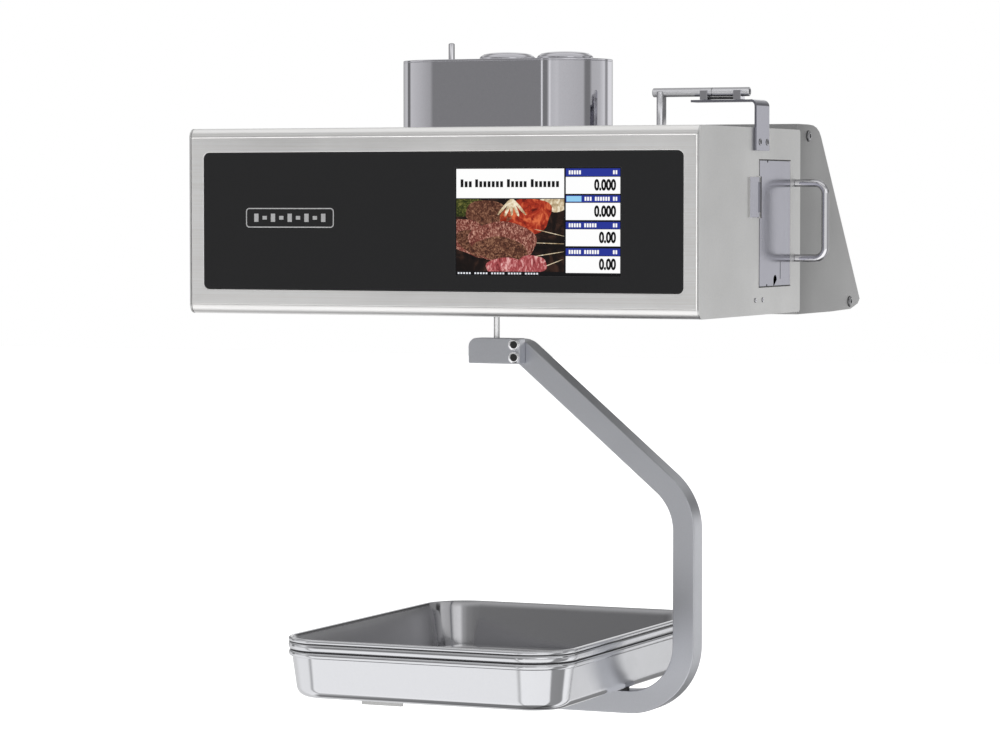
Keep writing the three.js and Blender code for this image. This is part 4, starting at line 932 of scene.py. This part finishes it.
def pans():
    """The weighing pan with its two folds, the carrier pan under it, and the dark lines between them, painted
    shade in the gap and in the fold.
    """
    box, wall, sheet = Box("inner_pan"), 3.2 * MM, 0.8 * MM
    top = box.hi.z
    fold, foot, inside_top = top - 4.1 * MM, top - 10.3 * MM, top - 0.6 * MM
    outside_top = foot + 1 * MM
    inside = wall_rings(wall + sheet, inside_top, box.lo.z + sheet, 9 * MM)
    rim = [(wall + sheet * 0.8, top - 0.3 * MM), (wall + sheet * 0.3, top - 0.05 * MM)]
    rim += bead(top, fold, 1.9 * MM) + bead(fold, foot, 1.3 * MM)
    outside = wall_rings(wall + (inside_top - outside_top) * PAN_TAPER, outside_top, box.lo.z, 10 * MM)
    loops = pan_loops(inside[::-1] + rim + outside, box)
    pan = make("weighing_pan", loft(loops), pan_steel, "inner_pan", "weigh_pan", 38.0)
    # The inner walls and floor take the darker copy: painted shade.
    pan.data.materials.append(pan_inside_painted_shade)
    around = len(loops[0])
    floor_cap = (len(loops) - 1) * around
    for index, polygon in enumerate(pan.data.polygons):
        if index < len(inside) * around or index == floor_cap:
            polygon.material_index = 1

    box, sheet, grow = Box("outer_pan"), 1 * MM, 0.3 * MM
    gap_top, top = top - 10.4 * MM, box.hi.z
    foot = top - 5 * MM
    inside = wall_rings(wall + sheet, top - 0.8 * MM, box.lo.z + sheet, 9 * MM)
    rim = [(wall + 0.4 * MM, top), (2.2 * MM, top)] + bead(top, foot, 1.4 * MM, 0.3 * MM)
    loops = pan_loops(inside[::-1] + rim + wall_rings(wall, foot, box.lo.z, 10 * MM), box, grow)
    make("carrier_pan", loft(loops), pan_steel, "outer_pan", "arm", 38.0)

    # A black rubber band in the gap between the pans: painted shade.
    gasket = loft(pan_loops(band(1.6 * MM, 2.8 * MM, top + 0.1 * MM, gap_top), box, grow), wrap=True)
    make("pan_gap_shade_band", gasket, rubber, body="arm")
    # A black band in the fold between the two beads: painted shade.
    line = 0.28 * MM
    groove = loft(pan_loops(band(0.15 * MM, 1.5 * MM, fold - line, fold + line), box), wrap=True)
    make("pan_rim_groove", groove, black_plastic, body="weigh_pan")


# ---- Side fittings ----
def slotted_screw(node, radius, socket_share):
    """A low steel head on the right-hand side, with a flat black hexagon on top as painted shade for its
    socket, and a thin dark washer.
    """
    screw = Box(node)
    height = 0.5 * MM
    place = axis_matrix((screw.hi.x - 1.6 * MM, screw.middle.y, screw.middle.z), (1, 0, 0))
    profile = [(0, -0.1 * MM), (radius, -0.1 * MM)]
    for a in quarter(7):
        profile.append((radius * (0.7 + 0.3 * math.cos(a)), height * (0.3 + 0.7 * math.sin(a))))
    profile.append((0, height))
    turned(node + "_head", profile, place, mirror_steel, node, crease=40.0)
    # Painted shade: a black hexagon standing for the dark of the socket.
    socket = disc(radius * socket_share, height, height + 0.06 * MM)
    turned(node + "_head_socket", socket, place, black_plastic, steps=6)
    washer = disc(radius + 0.25 * MM, -0.16 * MM, 0.05 * MM)
    turned(node + "_head_washer", washer, place, black_plastic)


def console_screw(node, side):
    """A domed button head with a hexagon socket on a black washer, facing left (-1) or right (1)."""
    screw = Box(node)
    radius, height, steps = 4.6 * MM, 1.6 * MM, 48
    hexagon, neck, under, low = radius * 0.5, radius * 0.55, -1.2 * MM, height * 0.28
    rows = [(0, under), (neck, under), (neck, 0), (radius, 0), (radius, low)]
    for s in range(1, 8):
        a = s / 7 * 1.12 * 1.4
        reach = radius * (0.56 + 0.44 * math.cos(a))
        rows.append((max(reach, hexagon * 1.14), low + (height - low) * math.sin(a)))
    loops = [ring(reach, z, steps) for reach, z in rows]
    inside = []
    for i in range(steps):
        a = math.tau * i / steps
        sector = (a % (math.pi / 3)) - math.pi / 6
        reach = hexagon * math.cos(math.pi / 6) / math.cos(sector)
        inside.append((reach * math.cos(a), reach * math.sin(a)))
    for share, z in ((1.0, height - 0.05 * MM), (1.0, height * 0.35), (0.02, height * 0.25)):
        loops.append([(x * share, y * share, z) for x, y in inside])
    edge = screw.hi.x if side > 0 else screw.lo.x
    tip, axis = Vector((edge, screw.middle.y, screw.middle.z)), Vector((side, 0, 0))
    data = moved(loft(loops), axis_matrix(tip - axis * height, axis))
    make(node + "_head", data, dark_steel, node, crease=40.0)
    washer = disc(5.2 * MM, -1.62 * MM, -1.5 * MM)
    turned(node + "_washer", washer, axis_matrix(tip, axis), black_plastic)


def screws():
    for place in ("front", "rear"):
        slotted_screw("strap_screw_" + place, 2.7 * MM, 0.85)
        slotted_screw("side_screw_" + place, 1.9 * MM, 0.35)
    for place in ("top", "bottom"):
        console_screw("console_screw_left_" + place, -1)
        console_screw("console_screw_right_" + place, 1)


def door_lines():
    """Thin black outlines on the side panel round the printer door, as painted shade in its gaps, and bright
    edges on its hinge plate as painted highlights.
    """
    side = Box("housing_shell").hi.x
    door, plate = Box("printer_door"), Box("hinge_plate")
    wide, gap, near, far = 0.8 * MM, 0.35 * MM, side + 0.01 * MM, side + 0.14 * MM
    y0, y1 = plate.hi.y + 0.95 * MM - gap, door.hi.y + gap
    z0, z1 = door.lo.z - gap, door.hi.z + gap
    notch0, notch1 = plate.lo.z - 0.6 * MM, plate.hi.z + 0.6 * MM
    proud = max(door.hi.x, plate.hi.x) + 0.15 * MM
    strips = [
        ((near, y0 - wide, z0 - wide), (far, y1 + wide, z0)),
        ((near, y0 - wide, z1), (far, y1 + wide, z1 + wide)),
        ((near, y0 - wide, z0), (far, y0, notch0)),
        ((near, y0 - wide, notch1), (far, y0, z1)),
        ((near, y0 - 1.8 * wide, notch0), (proud, y0 + 0.2 * wide, notch1)),
    ]
    data = merged(*(box_mesh(lo, hi) for lo, hi in strips))
    # Black strips over the door's gaps: painted shade.
    make("door_outline", data, painted_shade_black)
    # A pale strip beside the hinge plate: a painted highlight.
    line = box_mesh((near, y0 - 2.7 * wide, notch0), (plate.hi.x + 0.1 * MM, y0 - 1.8 * wide, notch1))
    make("hinge_plate_glint", line, painted_highlight_look)
    lo, hi = plate.lo, plate.hi
    # A strip of paler steel along the plate's front edge: a painted highlight.
    rim = box_mesh((near, lo.y - 0.15 * MM, lo.z), (hi.x, lo.y + 0.3 * MM, hi.z))
    make("hinge_plate_edge", rim, side_steel)


def handle():
    """The bent bar of the grab handle, a little thinner than its CAD bar."""
    box = Box("grab_handle")
    radius, bend, share = box.size.y / 2, 9.5 * MM, 0.84
    y, reach = box.middle.y, box.hi.x - radius
    foot, bottom, top = Box("housing_shell").hi.x + 0.2 * MM, box.lo.z + radius, box.hi.z - radius
    corners = [(foot, y, bottom), (reach, y, bottom), (reach, y, top), (foot, y, top)]
    path = filleted(corners, (bend, bend), 16)
    make("polished_handle", tube(path, radius * share), handle_steel, "grab_handle")


def sign_holder():
    """The round rail, the post it stands on and the dark slab between its clips."""
    rail = Box("sign_rail")
    lo, hi, length, radius = rail.lo, rail.hi, rail.size.x, rail.size.z / 2
    edge, bore, well = 0.5 * MM, 2.6 * MM, length - 11 * MM
    seam, cut, dip = length * 0.62, radius - 0.7 * MM, 0.25 * MM
    profile = [(0, 0), (radius - edge, 0), (radius, edge), (radius, seam - edge), (cut, seam - dip)]
    profile += [(cut, seam + dip), (radius, seam + edge), (radius, length - edge), (radius - edge, length)]
    profile += [(bore, length), (bore, well), (0, well)]
    place = axis_matrix((lo.x, rail.middle.y, rail.middle.z), (1, 0, 0))
    turned("round_rail", profile, place, rail_steel, "sign_rail", crease=40.0)

    post, roof, soft = Box("sign_post"), Box("housing_shell").hi.z, 0.6 * MM
    half_x, half_y, centre = post.size.x / 2, post.size.y / 2, (post.middle.x, post.middle.y)
    loops = []
    for inset, z in ((0.0, roof + 0.1 * MM), (0.0, post.hi.z - soft), (soft, post.hi.z)):
        loops.append(rounded_loop(half_x - inset, half_y - inset, 3.1 * MM - inset, z, 12, centre))
    make("rail_post", loft(loops), rail_steel, "sign_post", crease=50.0)
    washer = disc(5.6 * MM, 0, 0.5 * MM)
    turned("rail_post_washer", washer, at(post.middle, roof), black_plastic, steps=40)

    left, right = Box("rail_clip_left"), Box("rail_clip_right")
    corner = (left.hi.x + 0.1 * MM, lo.y + 1.5 * MM, left.lo.z + 0.3 * MM)
    slab = box_mesh(corner, (right.lo.x - 0.1 * MM, hi.y - 1.5 * MM, lo.z - 0.2 * MM))
    soften(make("rail_slab", slab, black_plastic), 0.3 * MM)


# ---- Printer ----
def printer():
    """Rings about X in place of the CAD roll, core and roller, with softened rims."""
    rings = [
        ("wound_roll", "label_roll", 14.7 * MM, paper_look(), "label_roll", "paper", 96),
        ("card_core", "label_core", 12.7 * MM, core_card, "label_roll", "card", 96),
        ("rubber_roller", "platen_roller", 3.1 * MM, rubber, "platen", "rubber", 64),
    ]
    for name, node, bore, look, body, slot, steps in rings:
        box = Box(node)
        outer, length, soft = box.size.z / 2, box.size.x, 0.3 * MM
        profile = [(bore, 0), (outer - soft, 0), (outer, soft)]
        profile += [(outer, length - soft), (outer - soft, length), (bore, length)]
        place = axis_matrix((box.lo.x, box.middle.y, box.middle.z), (1, 0, 0))
        data = moved(lathe(profile, steps, wrap=True), place)
        make(name, data, look, node, body)


# ---- Console ----
def slanted_face():
    """Across, up and out of the console's slanted face, from the touch glass's own corners."""
    points = [vertex.co for vertex in NODES["touch_glass"].data.vertices]
    highest = max(points, key=lambda point: point.z)
    rearmost = max(points, key=lambda point: point.y)
    up = Vector((0.0, highest.y - rearmost.y, highest.z - rearmost.z)).normalized()
    across = Vector((-1.0, 0.0, 0.0))
    out = across.cross(up)
    return (-across, up, -out) if out.y < 0 else (across, up, out)


def face_extent(node, across, up, out):
    """How far a node's outermost face reaches across, up and out."""
    points = [vertex.co for vertex in NODES[node].data.vertices]
    front = max(point.dot(out) for point in points)
    near = [point for point in points if front - point.dot(out) < 0.05 * MM]
    u, v = [point.dot(across) for point in near], [point.dot(up) for point in near]
    return min(u), max(u), min(v), max(v), front


def operator_screen():
    """The operator's page: a title bar, three readings, product tiles and a number pad."""
    across, up, out = slanted_face()
    u0, u1, v0, v1, front = face_extent("operator_display", across, up, out)
    origin = across * u0 + up * v0 + out * front
    art = Artwork("operator_screen", origin, across * (u1 - u0), up * (v1 - v0))
    row_height, first_row = 0.127, 0.085
    tiles = [(0.02 + column * 0.128, first_row + row * row_height) for row in range(4) for column in range(5)]
    keys = [(0.675 + column * 0.103, first_row + row * row_height) for row in range(4) for column in range(3)]
    art.rect(0, 0, 1, 1, PALE)
    art.level += 1
    art.rect(0, 0.86, 1, 1, NAVY)
    art.rect(0.02, 0.60, 0.98, 0.84, WHITE)
    art.rect(0, 0, 1, 0.055, GREY)
    colours = (BLUE, GREEN, AMBER, RED, BLUE, GREY)
    for index, (u, v) in enumerate(tiles):
        art.rect(u, v, u + 0.118, v + 0.115, colours[(index // 5 * 2 + index % 5 * 3) % 6])
    for u, v in keys:
        art.rect(u, v, u + 0.095, v + 0.115, WHITE)
    art.level += 1
    for k in range(5):
        art.rect(0.03 + k * 0.19, 0.905, 0.16 + k * 0.19, 0.955, BLUE)
    for right, value in ((0.32, "0.000"), (0.64, "0.00"), (0.96, "0.00")):
        art.text(value, right, 0.635, 0.125, BLACK)
        art.rect(right - 0.27, 0.79, right - 0.14, 0.815, GREY)
    for u, v in tiles:
        art.rect(u + 0.015, v + 0.018, u + 0.085, v + 0.036, WHITE)
        art.rect(u + 0.015, v + 0.046, u + 0.055, v + 0.060, WHITE)
    for index, key in enumerate(("7", "8", "9", "4", "5", "6", "1", "2", "3", "0", "00", ".")):
        u, v = keys[(3 - index // 3) * 3 + index % 3]
        height = 0.055 if key != "." else 0.014
        art.text(key, u + 0.0475, v + 0.032, height, NAVY, align="CENTER", weight=0.02, width=0.62)
    art.finish()


def power_key():
    """The button's light ring and its bezel, which stays on the console."""
    across, up, out = slanted_face()
    u0, u1, v0, v1, front = face_extent("power_button", across, up, out)
    middle = across * ((u0 + u1) / 2) + up * ((v0 + v1) / 2) + out * front
    radius = (u1 - u0) / 2
    inner, outer, tall = radius * 0.42, radius * 0.52, 0.25 * MM
    light = [(inner, 0), (inner, tall), (outer, tall), (outer, 0)]
    turned("power_light_ring", light, axis_matrix(middle, out), GREEN, body="power_button")
    face = middle - out * (1.8 * MM)
    near, far = radius + 0.35 * MM, radius + 2.2 * MM
    flange = [(near, 0), (far, 0), (far - 0.2 * MM, 0.6 * MM), (near, 0.9 * MM)]
    make("power_button_bezel", moved(lathe(flange, 64, wrap=True), axis_matrix(face, out)), mirror_steel)
    exit_slot(face - up * (72 * MM), across, up, out)


def exit_slot(middle, across, up, out):
    """The printer's exit with a label waiting in it, curling under its own weight."""
    half_wide, reach, droop = 29 * MM, 17 * MM, 3.5 * MM
    vertices = []
    for s in range(9):
        t = s / 8
        point = middle + out * (reach * t - 3 * MM) - up * (droop * t * t)
        vertices += [point - across * half_wide, point + across * half_wide]
    faces = [(2 * i, 2 * i + 1, 2 * i + 3, 2 * i + 2) for i in range(8)]
    label = make("waiting_label", (vertices, faces), label_paper)
    label.modifiers.new("thickness", "SOLIDIFY").thickness = 0.16 * MM
    half_u, half_v, rim = 37.4 * MM, 4.9 * MM, 2.2 * MM
    lip = []
    for grow, rise in ((0.0, -1.2 * MM), (0.0, 0.7 * MM), (0.5 * MM, MM), (rim, MM), (rim + 0.3 * MM, 0.0)):
        loop = rounded_loop(half_u + grow, half_v + grow, 1.0 * MM + grow, 0, 6)
        lip.append([middle + across * u + up * v + out * rise for u, v, _ in loop])
    make("exit_slot_rim", loft(lip, wrap=True), black_plastic)


for build in (
    front_panel, front_window, customer_picture, badge, hanger, suspended_parts, rod_block, cranked_arm, pans,
    handle, sign_holder, screws, door_lines, printer, operator_screen, power_key
):
    build()


# ---- Studio ----
LEVEL_TOP = 2.0
# Brightness of the studio wall by bearing in degrees, from behind-left round by the front to behind-right.
WALL = [
    (-180, 0.78), (-150, 0.66), (-125, 0.52), (-118, 0.30), (-106, 0.30), (-104.5, 1.40), (-103.5, 1.40),
    (-102, 0.26), (-93, 0.26), (-89, 0.70), (-87, 1.15), (-84, 0.72), (-71, 0.80), (-66, 0.72), (-14, 0.62),
    (-9, 0.26), (2, 0.26), (8, 0.64), (30, 0.68), (47, 0.95), (52, 0.40), (59, 0.40), (64, 1.06), (80, 1.00),
    (104, 0.50), (125, 0.40), (150, 0.70), (160, 0.78), (163, 0.22), (173, 0.22), (176, 0.78), (180, 0.78),
]
# The same a little above the horizon, where faces tilted upwards look.
HIGH_WALL = [
    (-180, 0.40), (-150, 0.95), (-135, 0.35), (-119, 0.25), (-114.5, 0.25), (-111.5, 0.34), (-100, 0.34),
    (-80, 0.40), (-64, 0.60), (-52, 1.30), (-36, 1.20), (-26, 0.62), (-14, 0.80), (7, 0.95), (11, 0.08),
    (23, 0.08), (27, 0.42), (53, 0.38), (57, 0.07), (64, 0.08), (69, 0.26), (80, 0.30), (94, 0.32),
    (102, 1.00), (112, 0.95), (130, 0.25), (180, 0.40),
]
# The same below the horizon, where faces tilted downwards look.
GROUND = [
    (-180, 1.05), (-150, 1.05), (-140, 0.55), (-132, 1.12), (-112, 1.10), (-104, 0.66), (-97, 1.15),
    (-20, 1.12), (-13, 0.36), (22, 0.34), (31, 1.15), (53, 1.12), (57, 0.22), (62, 0.22), (65, 1.08),
    (73, 1.08), (78, 0.30), (98, 0.25), (106, 0.80), (150, 0.80), (180, 1.05),
]
# How the ground fades downwards, in shares of a right angle, and the sky by its height in degrees.
DEPTH = [(0.0, 1.0), (0.40, 1.0), (0.56, 1.05), (0.70, 0.25), (1.0, 0.18)]
SKY = [(0, 0.9), (24, 0.78), (32, 0.40), (42, 0.40), (50, 0.85), (75, 0.76), (90, 0.74)]
# The heights in degrees over which one zone turns into the next.
HIGH_BLEND, SKY_BLEND, GROUND_BLEND = (2.5, 7.0), (14.0, 26.0), (-11.0, -3.5)
ROOM_LEVEL = 0.85


def studio_floor():
    size, drop = 14.0, 0.32
    z = REST_BOUNDS[0].z - drop
    corners = [(-size, -size, z), (size, -size, z), (size, size, z), (-size, size, z)]
    mesh = bpy.data.meshes.new("studio_floor")
    mesh.from_pydata(corners, [], [(0, 1, 2, 3)])
    floor = placed("studio_floor", mesh)
    look = Look("studio_paper")
    fibres = look.spread(look.noise(60.0, detail=4.0), 0.0, 1.0)
    tone = look.mix(fibres, (0.90, 0.90, 0.90), (0.92, 0.92, 0.92))
    look.set(Base_Color=tone, Roughness=0.9, Emission_Color=(1.0, 1.0, 1.0), Emission_Strength=0.55)
    mesh.materials.append(look.material)
    floor.visible_glossy = False


def direction_world():
    """Soft studio walls by direction, seen only in reflections; plain white behind the object."""
    world = bpy.data.worlds.new("studio")
    graph = Graph(world)

    def levels(value, stops, interpolation="EASE"):
        scaled = [(place, level / LEVEL_TOP) for place, level in stops]
        return graph.math("MULTIPLY", graph.ramp(value, scaled, interpolation), LEVEL_TOP)

    def round_about(stops, interpolation="EASE"):
        return levels(turn, [((bearing + 180) / 360, level) for bearing, level in stops], interpolation)

    def blend(factor, a, b):
        rest = graph.math("MULTIPLY", a, graph.math("SUBTRACT", 1.0, factor))
        return graph.math("ADD", rest, graph.math("MULTIPLY", b, factor))

    def by_height(zone, below, above):
        low, high = zone
        share = graph.spread(lift, 0.0, 1.0, low / 90, high / 90, interpolation_type="SMOOTHSTEP")
        return blend(share, below, above)

    direction = graph.split(graph.node("ShaderNodeTexCoord").outputs["Generated"])
    bearing = graph.math("ARCTAN2", direction["Y"], direction["X"])
    turn = graph.math("ADD", graph.math("DIVIDE", bearing, math.tau), 0.5)
    lift = graph.math("DIVIDE", graph.math("ARCSINE", direction["Z"]), math.pi / 2)
    ground = graph.math("MULTIPLY", round_about(GROUND), levels(graph.math("MULTIPLY", lift, -1.0), DEPTH))
    sky = levels(lift, [(height / 90, level) for height, level in SKY])
    wall = by_height(HIGH_BLEND, round_about(WALL, "LINEAR"), round_about(HIGH_WALL))
    around = by_height(GROUND_BLEND, ground, by_height(SKY_BLEND, wall, sky))
    rays = graph.node("ShaderNodeLightPath").outputs
    level = blend(rays["Is Glossy Ray"], ROOM_LEVEL, around)
    level = blend(rays["Is Camera Ray"], level, 1.0)
    light = graph.node("ShaderNodeBackground", {"Color": (1.0, 1.0, 1.0), "Strength": level}).outputs[0]
    graph.node("ShaderNodeOutputWorld", {"Surface": light})
    bpy.context.scene.world = world


def softbox(name, place, size, power):
    light = bpy.data.lights.new(name, "AREA")
    light.shape, light.energy = "RECTANGLE", power
    light.size, light.size_y = size
    lamp = placed(name, light)
    lamp.location = place
    target = Vector((0, 0, -0.25))
    lamp.rotation_euler = (target - Vector(place)).to_track_quat("-Z", "Y").to_euler()
    lamp.visible_glossy = False


def camera():
    lens = bpy.data.cameras.new("camera")
    lens.sensor_width, lens.lens = 36.0, 134.5
    lens.clip_start, lens.clip_end = 0.05, 60.0
    view = placed("camera", lens)
    view.location = (1.3451, -3.0752, -0.1331)
    view.rotation_euler = (math.radians(90 - 2.66), 0.0, math.radians(23.74))
    bpy.context.scene.camera = view


studio_floor()
direction_world()
softbox("key_light", (0.9, -1.8, 1.9), (1.8, 1.2), 45.0)
softbox("fill_light", (-2.2, -1.2, 0.6), (1.6, 1.6), 18.0)
camera()
bpy.context.scene.view_settings.view_transform = "Standard"
